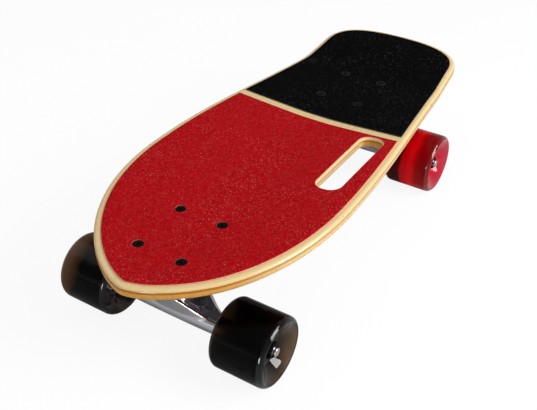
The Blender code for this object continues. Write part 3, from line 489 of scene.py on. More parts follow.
def lacquered_maple(tones):
    """Clear lacquer over seven plies of maple: pale faces, and bands of plies at the edges."""
    finish = Finish("lacquered_maple", Coat_Weight=0.65, Coat_Roughness=0.06, Specular_IOR_Level=0.1)
    ply = finish.attribute("ply")
    wobble = finish.noise(45.0, 3.0) - 0.5
    height = ply + wobble * 0.018
    fibres = finish.noise(1.0, 6.0, 0.6, finish.place((14.0, 420.0, 420.0)))
    streaks = finish.noise(1.0, 3.0, 0.5, finish.place((5.0, 60.0, 60.0)))
    end_grain = finish.noise(1.0, 4.0, 0.6, finish.place((900.0, 900.0, 200.0)))
    maple, amber, glue = tuple(tones.maple), tuple(tones.amber), tuple(tones.glue)
    normal = finish.node("ShaderNodeTexCoord", output=1)
    facing_ends = finish.node("ShaderNodeSeparateXYZ", {0: normal})
    ends = finish.fade(facing_ends * facing_ends, 0.02, 0.45, 0.05, 1.0)
    pale = finish.mix(finish.fade(fibres, 0.35, 0.7), shade(maple, 0.975), shade(maple, 1.025))
    pale = finish.mix(finish.fade(streaks, 0.55, 0.8, 0.0, 0.10), pale, amber)
    dark = finish.mix(finish.fade(end_grain, 0.3, 0.7), shade(amber, 0.88), shade(amber, 1.1))
    # Shares of the thickness from the underside up: 1 is a pale ply, 0.5 an amber one, 0 a dark line.
    # Towards the underside the plies are darker, a painted shade on the lower rounding.
    stops = ((0.0, 0.3), (0.135, 0.3), (0.145, 0.2), (0.155, 0.34), (0.29, 0.38), (0.30, 0.25),
             (0.31, 0.44), (0.44, 0.5), (0.45, 0.35), (0.46, 0.5), (0.57, 0.52), (0.60, 0.3),
             (0.63, 0.0), (0.76, 0.0), (0.79, 0.35), (0.81, 0.8), (0.86, 0.86), (0.875, 0.72),
             (0.89, 1.0))
    kind = finish.node("ShaderNodeValToRGB", {"Fac": height}, stops=stops)
    wood = finish.mix(finish.fade(kind, 0.5, 1.0), dark, pale)
    wood = finish.mix(finish.fade(kind, 0.0, 0.5), glue, wood)
    # Faces along the board's sides are painted paler than faces towards nose and tail, a painted light; the
    # ends keep their full ply bands
    wood = finish.mix(ends, finish.mix(0.35, pale, wood), wood)
    wood = finish.mix(finish.fade(kind, 0.2, 0.0) * 0.55, wood, glue)
    spots = finish.place((0.35, 0.35, 1.0))
    knots = finish.grains(150.0, where=spots)
    chance = finish.chances(150.0, spots)
    burnt = finish.fade(knots, 0.16, 0.08) * (chance > 0.5) * finish.fade(ply, 0.7, 0.78) * (ply < 0.93)
    wood = finish.mix(burnt * 0.8, wood, shade(glue, 0.2))
    wood = finish.mix((ply < 0.02) * finish.fade(fibres, 0.2, 0.5, 0.9, 1.0), wood, tuple(tones.stain))
    finish.bump(fibres, 0.03, 0.0003)
    return finish.set(Base_Color=wood, Roughness=finish.fade(fibres, 0.3, 0.7, 0.24, 0.36))


def grip_tape(name, grit, fleck, edge, share, dust):
    """Silicon grains in resin: a close mottle with scattered pale grains."""
    finish = Finish(name, Specular_IOR_Level=0.03)
    grit, fleck = tuple(grit), tuple(fleck)
    filed = finish.fade(finish.attribute("ply"), 1.106, 1.075) * (1.0 - 0.75 * finish.attribute("bolted"))
    fine = finish.noise(900.0, 3.0, 0.7)
    grain = finish.chances(760.0)
    chance = finish.chances(1150.0)
    cells = finish.grains(1150.0)
    drift = finish.fade(finish.noise(28.0, 3.0), 0.4, 0.62, 0.35, 1.0)
    mask = finish.fade(chance, 1.0 - share, 1.0 - share * 0.4) * finish.fade(cells, 0.6, 0.2) * drift
    ground = finish.mix(grain, shade(grit, 0.82), shade(grit, 1.14))
    clouds = finish.noise(330.0, 4.0, 0.7)
    ground = finish.mix(finish.fade(clouds, 0.4, 0.75, 0.0, dust), ground, fleck)
    surface = finish.mix(mask, ground, fleck)
    surface = finish.mix(filed * finish.fade(fine, 0.3, 0.6, 0.55, 0.9), surface, tuple(edge))
    finish.bump(fine - cells * 0.8, 0.25, 0.0003)
    return finish.set(Base_Color=surface, Roughness=0.85 - mask * 0.4)


def metal(name, tone, low, high, scale, depth):
    """Bare metal whose gloss and surface vary at the given scale."""
    finish = Finish(name, Metallic=1.0)
    cloud = finish.noise(scale * 0.08, 3.0)
    fine = finish.noise(scale, 4.0, 0.6)
    surface = finish.mix(finish.fade(cloud, 0.3, 0.7), shade(tone, 0.93), shade(tone, 1.05))
    finish.bump(fine, 0.3, depth)
    return finish.set(Base_Color=surface, Roughness=finish.fade(fine + cloud * 0.6, 0.45, 1.05, low, high))


def black_finish(name, tone, worn, roughness):
    """Blackened metal with fine wear that shows what is under it."""
    finish = Finish(name, Specular_IOR_Level=0.06)
    wear = finish.noise(1400.0, 5.0, 0.7)
    mask = finish.fade(wear, 0.66, 0.74)
    surface = finish.mix(mask * 0.25, tuple(tone), tuple(worn))
    finish.bump(wear, 0.15, 0.0001)
    return finish.set(Base_Color=surface, Roughness=roughness + mask * 0.15, Metallic=mask * 0.25)


def urethane(name, thick, thin, glow, density, index, clear, gloss, bands=None):
    """Cast urethane: dark in depth, with a painted glow for light coming through where its wall is thin,
    painted light bands across the tread where given, and glossy off the tread.
    """
    finish = Finish(name, Transmission_Weight=clear, IOR=index, Specular_IOR_Level=0.3, Coat_Roughness=0.04)
    wall = finish.attribute("thin")
    tread = finish.attribute("tread")
    cloud = finish.noise(90.0, 3.0)
    scuff = finish.noise(500.0, 4.0, 0.6)
    # Lighter where the wall is thin: a painted glow for light coming through
    surface = finish.mix(finish.fade(wall + (cloud - 0.5) * 0.2, 0.05, 0.9), tuple(thick), tuple(thin))
    # Painted light bands across the tread: painted shadow, glow and shade
    if bands:
        across = finish.attribute("across") + (cloud - 0.5) * 0.08
        inner = finish.node("ShaderNodeValToRGB", {"Fac": across}, stops=bands)
        surface = finish.mix(finish.fade(tread, 0.0, 0.5), surface, inner)
    inside = finish.node("ShaderNodeVolumeAbsorption", {"Color": glow, "Density": density})
    finish.feed(finish.tree.nodes["Material Output"].inputs["Volume"], inside)
    finish.bump(scuff, 0.01, 0.0002)
    worn = finish.fade(tread, 0.5, 1.0)
    return finish.set(Base_Color=surface, Coat_Weight=(1.0 - worn) * gloss,
                      Roughness=finish.fade(scuff, 0.4, 0.8, 0.03, 0.06) + worn * 0.16)


def soft_black(name, tone, roughness):
    """Moulded black urethane or plastic."""
    finish = Finish(name)
    grain = finish.noise(700.0, 4.0, 0.6)
    surface = finish.mix(grain, shade(tone, 0.8), shade(tone, 1.3))
    finish.bump(grain, 0.2, 0.0001)
    return finish.set(Base_Color=surface,
                      Roughness=finish.fade(grain, 0.3, 0.7, roughness, roughness + 0.12))


FINISHES = {}


def finishes():
    """All the object's materials, made once."""
    if FINISHES:
        return FINISHES
    tones = bpy.context.scene.cruiser_colours
    FINISHES["maple"] = lacquered_maple(tones)
    FINISHES["red_grip"] = grip_tape("red_grip_tape", tones.red_grit, tones.red_fleck, tones.red_edge,
                                     0.12, 0.09)
    FINISHES["black_grip"] = grip_tape("black_grip_tape", tones.black_grit, tones.black_fleck,
                                       tones.black_edge, 0.08, 0.03)
    for slot, name, tone, *values in (
            ("polished", "polished_aluminium", tones.polish, 0.10, 0.22, 600.0, 0.00002),
            ("cast", "cast_aluminium", tones.cast, 0.36, 0.55, 1400.0, 0.0002),
            ("steel", "bright_steel", tones.steel, 0.18, 0.32, 1500.0, 0.00003),
            ("zinc", "zinc_plated_steel", tones.zinc, 0.24, 0.40, 1100.0, 0.00005),
            ("bearing", "bearing_steel", tones.chrome, 0.10, 0.20, 1500.0, 0.00002),
            ("rim", "worn_rim", shade(tones.steel, 0.12), 0.35, 0.5, 1500.0, 0.00003)):
        FINISHES[slot] = metal(name, tone, *values)
    for slot, name, roughness in (("black_bolt", "blackened_bolt", 0.40),
                                  ("black_nut", "black_locknut", 0.25)):
        FINISHES[slot] = black_finish(name, tones.black_metal, tones.steel, roughness)
    for slot, name, roughness in (("bushing", "bushing_urethane", 0.30), ("cup", "pivot_cup_plastic", 0.42),
                                  ("seal", "bearing_seal", 0.50)):
        FINISHES[slot] = soft_black(name, tones.rubber, roughness)
    FINISHES["smoke"] = urethane("smoky_urethane", tones.smoke, tones.smoke_painted_glow,
                                 (0.46, 0.30, 0.15), 150.0, 1.2, 1.0, 0.85)
    painted_shadow_red, painted_shade_red, red = tuple(tones.red_painted_shadow), tuple(tones.red_painted_shade), tuple(tones.red_wheel)
    painted_glow_red = (1.0, 0.004, 0.008)
    # Across the wheel, from its inner face to its outer one: a painted shadow of the deck and the inner
    # bearing, a painted glow where light comes through between the bearings, and painted shade over the
    # outer bearing
    bands = ((0.0, painted_shadow_red), (0.33, painted_shadow_red), (0.38, shade(red, 0.8)), (0.49, shade(red, 0.9)), (0.53, painted_glow_red),
             (0.59, painted_glow_red), (0.64, shade(red, 0.75)), (0.72, painted_shade_red), (1.0, shade(painted_shade_red, 0.7)))
    FINISHES["red_wheel"] = urethane("red_urethane", tones.red_wheel, tones.red_painted_glow,
                                     (0.95, 0.01, 0.04), 50.0, 1.25, 0.5, 1.0, bands)
    return FINISHES


def at(x, y, z):
    return Matrix.Translation((x, y, z))


def to_mesh(bm, name):
    bmesh.ops.remove_doubles(bm, verts=bm.verts, dist=1e-6)
    bmesh.ops.recalc_face_normals(bm, faces=bm.faces)
    mesh = bpy.data.meshes.new(name)
    bm.to_mesh(mesh)
    bm.free()
    return mesh


def bevel(bm, geom, offset, segments, affect="EDGES"):
    return bmesh.ops.bevel(bm, geom=geom, offset=offset, segments=segments, profile=0.5, affect=affect,
                           material=-1)


def rounded_rectangle(bm, centre, half, height, corner, segments):
    """Add a level face with rounded corners, and hand back the corners' vertices."""
    corners = [bm.verts.new((centre[0] + sx * half[0], centre[1] + sy * half[1], height))
               for sx, sy in ((1, 1), (-1, 1), (-1, -1), (1, -1))]
    bm.faces.new(corners)
    return bevel(bm, corners, corner, segments, "VERTICES")["verts"]


def thicken(bm, height):
    """Extrude a level face straight up."""
    raised = bmesh.ops.extrude_face_region(bm, geom=bm.faces[:])["geom"]
    tops = [v for v in raised if isinstance(v, bmesh.types.BMVert)]
    bmesh.ops.translate(bm, verts=tops, vec=(0, 0, height))


def round_rims(bm, offset, segments):
    """Round the level edges of a slab."""
    rims = [e for e in bm.edges if abs(e.verts[0].co.z - e.verts[1].co.z) < 1e-7]
    bevel(bm, rims, offset, segments)


def slice_through(bm, spot, normal, **settings):
    """Add edges where a plane passes, or with clear_outer take away what lies beyond it."""
    return bmesh.ops.bisect_plane(bm, geom=bm.verts[:] + bm.edges[:] + bm.faces[:], dist=1e-6,
                                  plane_co=spot, plane_no=normal, **settings)


def bridge(bm, rings):
    """Join each ring of edges to the next."""
    for lower, upper in zip(rings, rings[1:]):
        bmesh.ops.bridge_loops(bm, edges=lower + upper)


def mirrored(points):
    """The points on the other side of the X axis, in reverse order."""
    return [Vector((p.x, -p.y)) for p in reversed(points)]


def both_ends(profile):
    """A profile followed by its mirror image, for a piece that is the same at both ends."""
    return profile + [(radius, -height, *reach) for radius, height, *reach in reversed(profile)]


def settled(thing):
    """The mesh of an object with its modifiers applied. The object is removed."""
    bpy.context.view_layer.update()
    graph = bpy.context.evaluated_depsgraph_get()
    mesh = bpy.data.meshes.new_from_object(thing.evaluated_get(graph), depsgraph=graph)
    bpy.data.objects.remove(thing)
    return mesh


def bench(mesh):
    """Put a mesh in the scene for as long as its modifiers need."""
    thing = bpy.data.objects.new(mesh.name, mesh)
    bpy.context.collection.objects.link(thing)
    return thing


def carve(mesh, *tools, operation="DIFFERENCE"):
    """Cut tools out of a mesh one after another, or join or intersect them."""
    for tool in tools:
        work = bench(mesh)
        cutter = bench(tool)
        modifier = work.modifiers.new("carve", "BOOLEAN")
        modifier.operation = operation
        modifier.solver = "EXACT"
        modifier.object = cutter
        mesh = settled(work)
        bpy.data.objects.remove(cutter)
    return mesh


def melt(mesh, voxel, rounds):
    """Turn overlapping closed forms into one casting with soft corners."""
    work = bench(mesh)
    modifier = work.modifiers.new("melt", "REMESH")
    modifier.mode = "VOXEL"
    modifier.voxel_size = voxel
    bm = bmesh.new()
    bm.from_mesh(settled(work))
    for _ in range(rounds):
        bmesh.ops.smooth_vert(bm, verts=bm.verts, factor=0.5, use_axis_x=True, use_axis_y=True,
                              use_axis_z=True)
    return to_mesh(bm, mesh.name)


def joined(name, *parts):
    """Each (mesh, matrix) in its place, in one mesh."""
    bm = bmesh.new()
    for mesh, matrix in parts:
        before = len(bm.verts)
        bm.from_mesh(mesh)
        bm.verts.ensure_lookup_table()
        bmesh.ops.transform(bm, matrix=matrix, verts=bm.verts[before:])
    mesh = bpy.data.meshes.new(name)
    bm.to_mesh(mesh)
    bm.free()
    return mesh


def soft_corners(profile, steps):
    """Round each (radius, height, reach) corner; plain (radius, height) points stay."""
    points = []
    for k, corner in enumerate(profile):
        here = Vector(corner[:2])
        if len(corner) < 3:
            points.append(here)
            continue
        before = Vector(profile[k - 1][:2]) - here
        after = Vector(profile[(k + 1) % len(profile)][:2]) - here
        reach = min(corner[2], before.length * 0.49, after.length * 0.49)
        first = here + before.normalized() * reach
        last = here + after.normalized() * reach
        for step in range(steps + 1):
            share = step / steps
            points.append(first.lerp(here, share).lerp(here.lerp(last, share), share))
    return points


def turned(name, profile, sides, axis="Z", steps=4):
    """Turn a profile about Z or Y. One that starts and ends on the axis makes a solid."""
    points = soft_corners(profile, steps)
    bm = bmesh.new()
    verts = []
    for radius, height in points:
        verts.append(bm.verts.new((radius, 0, height) if axis == "Z" else (radius, height, 0)))
    edges = [bm.edges.new(pair) for pair in zip(verts, verts[1:])]
    if points[0][0] > 0:
        edges.append(bm.edges.new((verts[-1], verts[0])))
    bmesh.ops.spin(bm, geom=verts + edges, cent=(0, 0, 0), axis=(0, 0, 1) if axis == "Z" else (0, 1, 0),
                   angle=2 * pi, steps=sides, use_merge=True)
    return to_mesh(bm, name)


def thread(radius, start, end, pitch, depth):
    """Profile points for grooves along a shank."""
    points = []
    count = int(abs(end - start) / pitch)
    step = (end - start) / count
    for k in range(count):
        points.append((radius, start + k * step))
        points.append((radius - depth, start + (k + 0.5) * step))
    return points


def pin(name, radius, top, foot, axis="Z"):
    """A plain round form from its top to its foot, about Z or Y."""
    return turned(name, [(0, top), (radius, top), (radius, foot), (0, foot)], SMALL, axis)


def hexagon(name, flats, height, middle):
    """A hexagonal prism about Z, with its width across the flats."""
    corner = flats / 2 / cos(pi / 6)
    bm = bmesh.new()
    bmesh.ops.create_cone(bm, cap_ends=True, segments=6, radius1=corner, radius2=corner, depth=height,
                          matrix=at(0, 0, middle))
    return to_mesh(bm, name)


def hex_nut(name, shank):
    """A chamfered hexagon from 0 up, with a locking collar on top and a bore that clears its shank."""
    flats, height, collar, collar_radius = NUTS[name]
    bore = shank + NUT_CLEARANCE
    corner = flats / 2 / cos(pi / 6)
    body = height - collar
    prism = hexagon(name, flats, body + 2 * CUT_REACH, body / 2)
    # The barrel stands clear of the prism's corners, so that no two surfaces coincide
    face = flats / 2 * CHAMFER_FACE
    waist = corner * CHAMFER_WAIST
    slope = (corner - flats / 2) * CHAMFER_SLOPE * (waist - face) / (corner - face)
    barrel = turned("barrel", [(0, body), (face, body), (waist, body - slope), (waist, slope), (face, 0),
                               (0, 0)], SMALL)
    nut = carve(prism, barrel, operation="INTERSECT")
    ring = turned("collar", [(0, height), (collar_radius - collar * 0.8, height, collar * 0.5),
                             (collar_radius, body + collar * 0.3, collar * 0.4),
                             (collar_radius, body - collar), (0, body - collar)], SMALL)
    nut = carve(nut, ring, operation="UNION")
    top = height + CUT_REACH
    pocket = bore * NUT_POCKET
    mouth = bore * NUT_MOUTH
    hole = turned("hole", [(0, top), (pocket, top), (pocket, height - bore * 0.2),
                           (bore, height - bore * 0.45), (bore, bore * 0.2), (mouth, 0),
                           (mouth, -CUT_REACH), (0, -CUT_REACH)], SMALL)
    return carve(nut, hole)


def second_finish(mesh, test):
    """Give the faces that pass the test the piece's second finish."""
    for face in mesh.polygons:
        if test(face):
            face.material_index = 1


def piece(name, mesh, node, slot, place, extra=None, sharp=35, bend=None):
    """Show a mesh as the finished form of a CAD node. It rides where the node does, or with bend it stays
    where it is placed and rides nothing.
    """
    mesh = mesh.copy()
    mesh.name = name
    mesh.transform(place)
    looks = finishes()
    mesh.materials.append(looks[slot])
    if extra:
        mesh.materials.append(looks[extra])
    thing = bpy.data.objects.new(name, mesh)
    bpy.context.collection.objects.link(thing)
    mesh.shade_smooth()
    mesh.set_sharp_from_angle(angle=radians(sharp))
    if bend:
        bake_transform(thing)
    else:
        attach(thing, frame["nodes"][node]["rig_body"])
    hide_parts(node)


class Truck:
    """Where one truck's lines lie. Its own X runs from the kingpin towards the pivot."""

    def __init__(self, name, sizes):
        self.name = name
        middle = sum(BOLT_SPOTS[name], Vector()) / 4
        heading = 0 if name == FRONT else pi
        self.place = at(middle.x, 0, PLATE_TOP + SEAT_GAP) @ Matrix.Rotation(heading, 4, "Z")
        self.kingpin = self.place @ kingpin_line(sizes)
        self.pivot = self.place @ pivot_line(sizes)


def trucks():
    sizes = bpy.context.scene.cruiser_truck
    return [Truck(FRONT, sizes), Truck(REAR, sizes)]


def kingpin_line(sizes):
    return at(KINGPIN_X, 0, 0) @ Matrix.Rotation(sizes.kingpin_lean, 4, "Y")


def pivot_line(sizes):
    return at(PIVOT_X, 0, -PIVOT_DEPTH) @ Matrix.Rotation(sizes.pivot_lean, 4, "Y")


def stack_heights():
    """Heights along the kingpin, down from the deck's underside."""
    stack = {"top_washer": TOP_WASHER_DEPTH}
    stack["top_bushing"] = stack["top_washer"] + SEAT_GAP + BARREL_HEIGHT
    stack["ring_middle"] = stack["top_bushing"] + SEAT_GAP + RING_HALF
    stack["road_bushing"] = stack["ring_middle"] + RING_HALF + SEAT_GAP
    stack["road_washer"] = stack["road_bushing"] + CONE_HEIGHT + SEAT_GAP
    stack["nut"] = stack["road_washer"] + WASHER_BACK + SEAT_GAP
    return stack


def cubic(start, pull_start, pull_end, end, steps):
    """Points along a cubic curve, without its last one."""
    points = []
    for k in range(steps):
        t = k / steps
        s = 1 - t
        points.append(start * s ** 3 + pull_start * 3 * s * s * t + pull_end * 3 * s * t * t + end * t ** 3)
    return points


def deck_outline(sizes, inset=0.0):
    """The deck from above, from the nose tip round the left side and back."""
    nose = Vector((sizes.length / 2, 0))
    widest = Vector((WIDEST_X, sizes.width / 2))
    shoulder = Vector((TAIL_CORNER_LENGTH - sizes.length / 2, SHOULDER_WIDTH / 2))
    tail = Vector((-sizes.length / 2, 0))
    taper = Vector((cos(radians(SHOULDER_ANGLE)), sin(radians(SHOULDER_ANGLE))))
    half = cubic(nose, nose + Vector((0, NOSE_TIP_PULL)), widest + Vector((NOSE_FLANK_PULL, 0)), widest,
                 OUTLINE_STEPS[0])
    half += cubic(widest, widest - Vector((TAPER_PULL, 0)), shoulder + taper * SHOULDER_PULL, shoulder,
                  OUTLINE_STEPS[1])
    half += cubic(shoulder, shoulder - taper * TAIL_CORNER_PULL, tail + Vector((0, TAIL_END_PULL)), tail,
                  OUTLINE_STEPS[2])
    half.append(tail)
    outline = half + mirrored(half[1:-1])
    moved = []
    for k, point in enumerate(outline):
        along = outline[(k + 1) % len(outline)] - outline[k - 1]
        moved.append(point + Vector((-along.y, along.x)).normalized() * inset)
    return moved


def press(sizes, x, y):
    """How far the mould lifts the flat blank at a point."""
    if x > CONCAVE_MIDDLE_X:
        along = (x - CONCAVE_MIDDLE_X) / CONCAVE_FRONT_REACH
    else:
        along = (CONCAVE_MIDDLE_X - x) / CONCAVE_REAR_REACH
    fade = max(1 - along * along, 0) ** FADE_POWER
    flat = sizes.concave_flat / 2
    across = max(abs(y) - flat, 0) / (sizes.width / 2 - flat)
    lift = sizes.concave * fade * across ** CONCAVE_POWER
    ahead = max(x - NOSE_START, 0) / (sizes.length / 2 - NOSE_START)
    lift += sizes.nose_lift * ahead ** FADE_POWER
    behind = max(KICK_START - x, 0)
    bend = sizes.kick_radius * sin(sizes.kick_angle)
    lift += sizes.kick_radius - sqrt(sizes.kick_radius ** 2 - min(behind, bend) ** 2)
    return lift + max(behind - bend, 0) * tan(sizes.kick_angle)


def blank(name, outline, low, high, rounding, steps):
    """A flat sheet in the outline's shape, with rounded rims."""
    bm = bmesh.new()
    bm.faces.new([bm.verts.new((p.x, p.y, low)) for p in outline])
    thicken(bm, high - low)
    round_rims(bm, rounding, steps)
    return to_mesh(bm, name)


def handle_tool(sizes, layers):
    """A plug in the handle's shape. Each layer is (outset, height above the unpressed deck)."""
    bm = bmesh.new()
    rings = []
    for outset, height in layers:
        half = (sizes.handle_length / 2 + outset, sizes.handle_width / 2 + outset)
        corners = rounded_rectangle(bm, (sizes.handle_x, sizes.handle_y), half, height,
                                    sizes.handle_corner + outset, 10)
        rings.append(list(dict.fromkeys(e for v in corners for e in v.link_edges)))
    bridge(bm, rings)
    top, foot = layers[0][1], layers[-1][1]
    inner = [f for f in bm.faces if len(f.verts) > 4 and top > f.calc_center_median().z > foot]
    bmesh.ops.delete(bm, geom=inner, context="FACES_ONLY")
    return to_mesh(bm, "handle_tool")


def bolt_tool(sizes):
    """The eight countersunk holes, as they lie before the deck is pressed."""
    truck = bpy.context.scene.cruiser_truck
    top = sizes.grip_top
    head = truck.bolt_head_radius + SEAT_GAP / 2
    shank = truck.bolt_radius + SEAT_GAP
    torn = head + TORN_EDGE
    hole = turned("hole", [(0, top + CUT_REACH), (torn, top + CUT_REACH), (torn, top),
                           (head, top - HEAD_RIM), (shank, top - HEAD_DEPTH), (shank, -CUT_REACH),
                           (0, -CUT_REACH)], SMALL)
    tool = joined("bolt_holes", *[(hole, at(spot.x, spot.y, 0)) for spot in ALL_BOLTS])
    for vert in tool.vertices:
        vert.co.z -= press(sizes, vert.co.x, vert.co.y)
    return tool


def pressed(mesh, sizes, cut=None):
    """Lay a grid over a flat blank, trim it at a seam and press it into the mould's shape."""
    bm = bmesh.new()
    bm.from_mesh(mesh)
    bmesh.ops.remove_doubles(bm, verts=bm.verts, dist=1e-6)
    if cut:
        x, side = cut
        seam = slice_through(bm, (x, 0, 0), (side, 0, 0), clear_outer=True)
        rim = [e for e in seam["geom_cut"] if isinstance(e, bmesh.types.BMEdge)]
        bmesh.ops.edgeloop_fill(bm, edges=rim)
    for axis, step, reach in ((0, PRESS_GRID[0], sizes.length / 2), (1, PRESS_GRID[1], sizes.width / 2)):
        normal = Vector((0, 0, 0))
        normal[axis] = 1
        for k in range(int(-reach / step), int(reach / step) + 1):
            slice_through(bm, normal * (k * step), normal)
    ply = bm.verts.layers.float.new("ply")
    bolted = bm.verts.layers.float.new("bolted")
    for vert in bm.verts:
        vert[bolted] = float(min((vert.co.xy - spot.xy).length for spot in ALL_BOLTS) < BOLTED_REACH)
        vert[ply] = vert.co.z / sizes.thickness
        vert.co.z += press(sizes, vert.co.x, vert.co.y)
    return to_mesh(bm, mesh.name)


def flare(reach):
    """Steps down a quarter round, as (how far out, how far from the face)."""
    angles = [radians(angle) for angle in (80, 64, 48, 32, 16, 0)]
    return [(reach * (1 - cos(angle)), reach * (1 - sin(angle))) for angle in angles]


def build_deck():
    sizes = bpy.context.scene.cruiser_deck
    board = blank("deck", deck_outline(sizes), 0.0, sizes.thickness, sizes.edge_rounding, 6)
    past = sizes.thickness
    above = flare(sizes.handle_rounding)
    below = flare(sizes.handle_underside)[::-1]
    layers = [(above[0][0], 2 * past)] + [(outset, past - drop) for outset, drop in above]
    layers += below + [(below[-1][0], -past)]
    board = carve(board, handle_tool(sizes, layers), bolt_tool(sizes))
    piece("pressed_deck", pressed(board, sizes), "deck", "maple", at(0, 0, DECK_LOW.z))


def build_grip_tapes():
    sizes = bpy.context.scene.cruiser_deck
    outset = sizes.handle_rounding - WINDOW_INSET
    window = handle_tool(sizes, [(outset, 2 * sizes.thickness), (outset, 0.0)])
    place = at(0, 0, DECK_LOW.z)
    for name, slot, margin, cut, windows in (
            ("nose_grip_tape", "red_grip", sizes.nose_margin, (-sizes.front_seam, -1), [window]),
            ("tail_grip_tape", "black_grip", sizes.tail_margin, (-sizes.rear_seam, 1), [])):
        tape = blank(name, deck_outline(sizes, margin), sizes.grip_floor, sizes.grip_top, TAPE_ROUNDING, 2)
        tape = carve(tape, *windows, bolt_tool(sizes))
        piece(name.replace("tape", "sheet"), pressed(tape, sizes, cut), name, slot, place)


def mounting_bolt(deck, sizes):
    """A countersunk bolt, its cross-recessed head level with the grip surface."""
    top = deck.grip_top
    head = sizes.bolt_head_radius
    shank = sizes.bolt_radius
    tip = -(PLATE_SIZE[2] + SEAT_GAP + NUTS["locknut"][1] + BOLT_PROTRUSION)
    profile = [(0, top), (head, top, 0.0003), (head, top - HEAD_RIM, 0.0002),
               (shank, top - HEAD_DEPTH, 0.0004)]
    profile += thread(shank, BOLT_THREAD_TOP, tip + BOLT_CHAMFER, *BOLT_THREAD)
    bolt = turned("mounting_bolt", profile + [(shank - BOLT_CHAMFER, tip), (0, tip)], SMALL)
    for turn in (pi / 4, pi * 3 / 4):
        bm = bmesh.new()
        bmesh.ops.create_cube(bm, size=1.0)
        bmesh.ops.scale(bm, vec=RECESS_SIZE, verts=bm.verts)
        bmesh.ops.scale(bm, vec=RECESS_TAPER, verts=[v for v in bm.verts if v.co.z < 0])
        bmesh.ops.transform(bm, matrix=at(0, 0, top) @ Matrix.Rotation(turn, 4, "Z"), verts=bm.verts)
        bolt = carve(bolt, to_mesh(bm, "cross_recess"))
    return bolt


def build_mounting_bolts():
    deck = bpy.context.scene.cruiser_deck
    sizes = bpy.context.scene.cruiser_truck
    bolt = mounting_bolt(deck, sizes)
    height = deck.grip_top - WORN_DEPTH
    inner = sizes.bolt_head_radius - WORN_WIDTH
    second_finish(bolt, lambda face: abs(face.center.z - height) < WORN_REACH
                  and face.center.xy.length > inner)
    nut = hex_nut("locknut", sizes.bolt_radius)
    turn_over = at(0, 0, -PLATE_SIZE[2] - SEAT_GAP) @ Matrix.Rotation(pi, 4, "X")
    half_x, half_y = BOLT_SPACING[0] / 2, BOLT_SPACING[1] / 2
    spots = [(-half_x, -half_y), (-half_x, half_y), (half_x, -half_y), (half_x, half_y)]
    for truck in trucks():
        for number, (x, y) in enumerate(spots, 1):
            spot = truck.place @ at(x, y, 0)
            piece(f"{truck.name}_countersunk_bolt_{number}", bolt,
                  f"{truck.name}_mounting_bolt_{number}", "black_bolt", spot, "rim")
            piece(f"{truck.name}_plate_locknut_{number}", nut, f"{truck.name}_locknut_{number}",
                  "zinc", spot @ turn_over)


def slab(name, length, width, corner, low, high, chamfer):
    """A plate with rounded corners and chamfered rims."""
    bm = bmesh.new()
    rounded_rectangle(bm, (0, 0), (length / 2, width / 2), low, corner, 8)
    thicken(bm, high - low)
    if chamfer:
        round_rims(bm, chamfer, 3)
    return to_mesh(bm, name)


def cast_baseplate(sizes):
    """Plate, kingpin boss, pivot housing and ribs melted into one casting, then machined."""
    length, width, thickness = PLATE_SIZE
    line = kingpin_line(sizes)
    pivot = pivot_line(sizes)
    plate = slab("baseplate", length, width, PLATE_CORNER, -thickness, -SEAT_GAP + PLATE_STOCK,
                 PLATE_CHAMFER)
    boss = turned("boss", [(0, BOSS_FOOT[1]), BOSS_FOOT, (*BOSS_FACE, 0.0008), (0, BOSS_FACE[1])], SMALL)
    socket = PIVOT_BALL_RADIUS + SEAT_GAP + CUP_WALL + SEAT_GAP
    roof = socket + HOUSING_WALL
    housing = turned("housing", [(0, roof), (HOUSING_RADIUS, roof, 0.002),
                                 (HOUSING_RADIUS, HOUSING_MOUTH, 0.001), (0, HOUSING_MOUTH)], SMALL)
    parts = [(plate, Matrix()), (boss, line), (housing, pivot)]
    for side in (-1, 1):
        rib = slab("rib", *RIB_SIZE, RIB_CORNER, *RIB_DEPTHS, RIB_CORNER)
        parts.append((rib, at(RIB_PLACE[0], side * RIB_PLACE[1], 0)))
    casting = melt(joined("baseplate", *parts), BASEPLATE_VOXEL, BASEPLATE_SMOOTHING)
    above = slab("above", length + CUT_REACH, width + CUT_REACH, 0.01, -SEAT_GAP, CUT_REACH, 0)
    drill = pin("drill", sizes.bolt_radius + SEAT_GAP, CUT_REACH, -CUT_REACH)
    drills = [(drill, at(sx * BOLT_SPACING[0] / 2, sy * BOLT_SPACING[1] / 2, 0))
              for sx in (-1, 1) for sy in (-1, 1)]
    bore = pin("bore", KINGPIN_RADIUS + SEAT_GAP, CUT_REACH, -CUT_REACH)
    cup = pin("cup", socket, socket, -CUT_REACH)
    return carve(casting, above, joined("drills", *drills), joined("bore", (bore, line)),
                 joined("cup", (cup, pivot)))


def pivot_cup():
    """A thimble with a round hollow for the pivot's ball."""
    inside = PIVOT_BALL_RADIUS + SEAT_GAP
    outside = inside + CUP_WALL
    profile = [(0, outside), (outside, outside, 0.001), (outside, -CUP_MOUTH, 0.0004),
               (inside, -CUP_MOUTH, 0.0004)]
    profile += [(inside * cos(radians(a)), inside * sin(radians(a))) for a in range(0, 90, 10)]
    return turned("pivot_cup", profile + [(0, inside)], SMALL)


def build_baseplates():
    sizes = bpy.context.scene.cruiser_truck
    casting = cast_baseplate(sizes)
    cup = pivot_cup()
    for truck in trucks():
        piece(f"{truck.name}_cast_baseplate", casting, f"{truck.name}_baseplate", "cast", truck.place)
        piece(f"{truck.name}_pivot_thimble", cup, f"{truck.name}_pivot_cup", "cup", truck.pivot)


def cup_washer(bushing_end, lip_side):
    """A washer with a lip that holds a bushing's end."""
    hole = KINGPIN_RADIUS + SEAT_GAP
    inner = bushing_end + WASHER_ROOM
    outer = inner + WASHER_WALL
    back = -lip_side * WASHER_BACK
    lip = lip_side * WASHER_LIP
    profile = [(hole, 0, 0.0002), (hole, back, 0.0003), (outer, back, 0.0014), (outer, lip, 0.0004),
               (inner, lip, 0.0004), (inner, 0, 0.0007)]
    return turned("cup_washer", profile, ROUND)


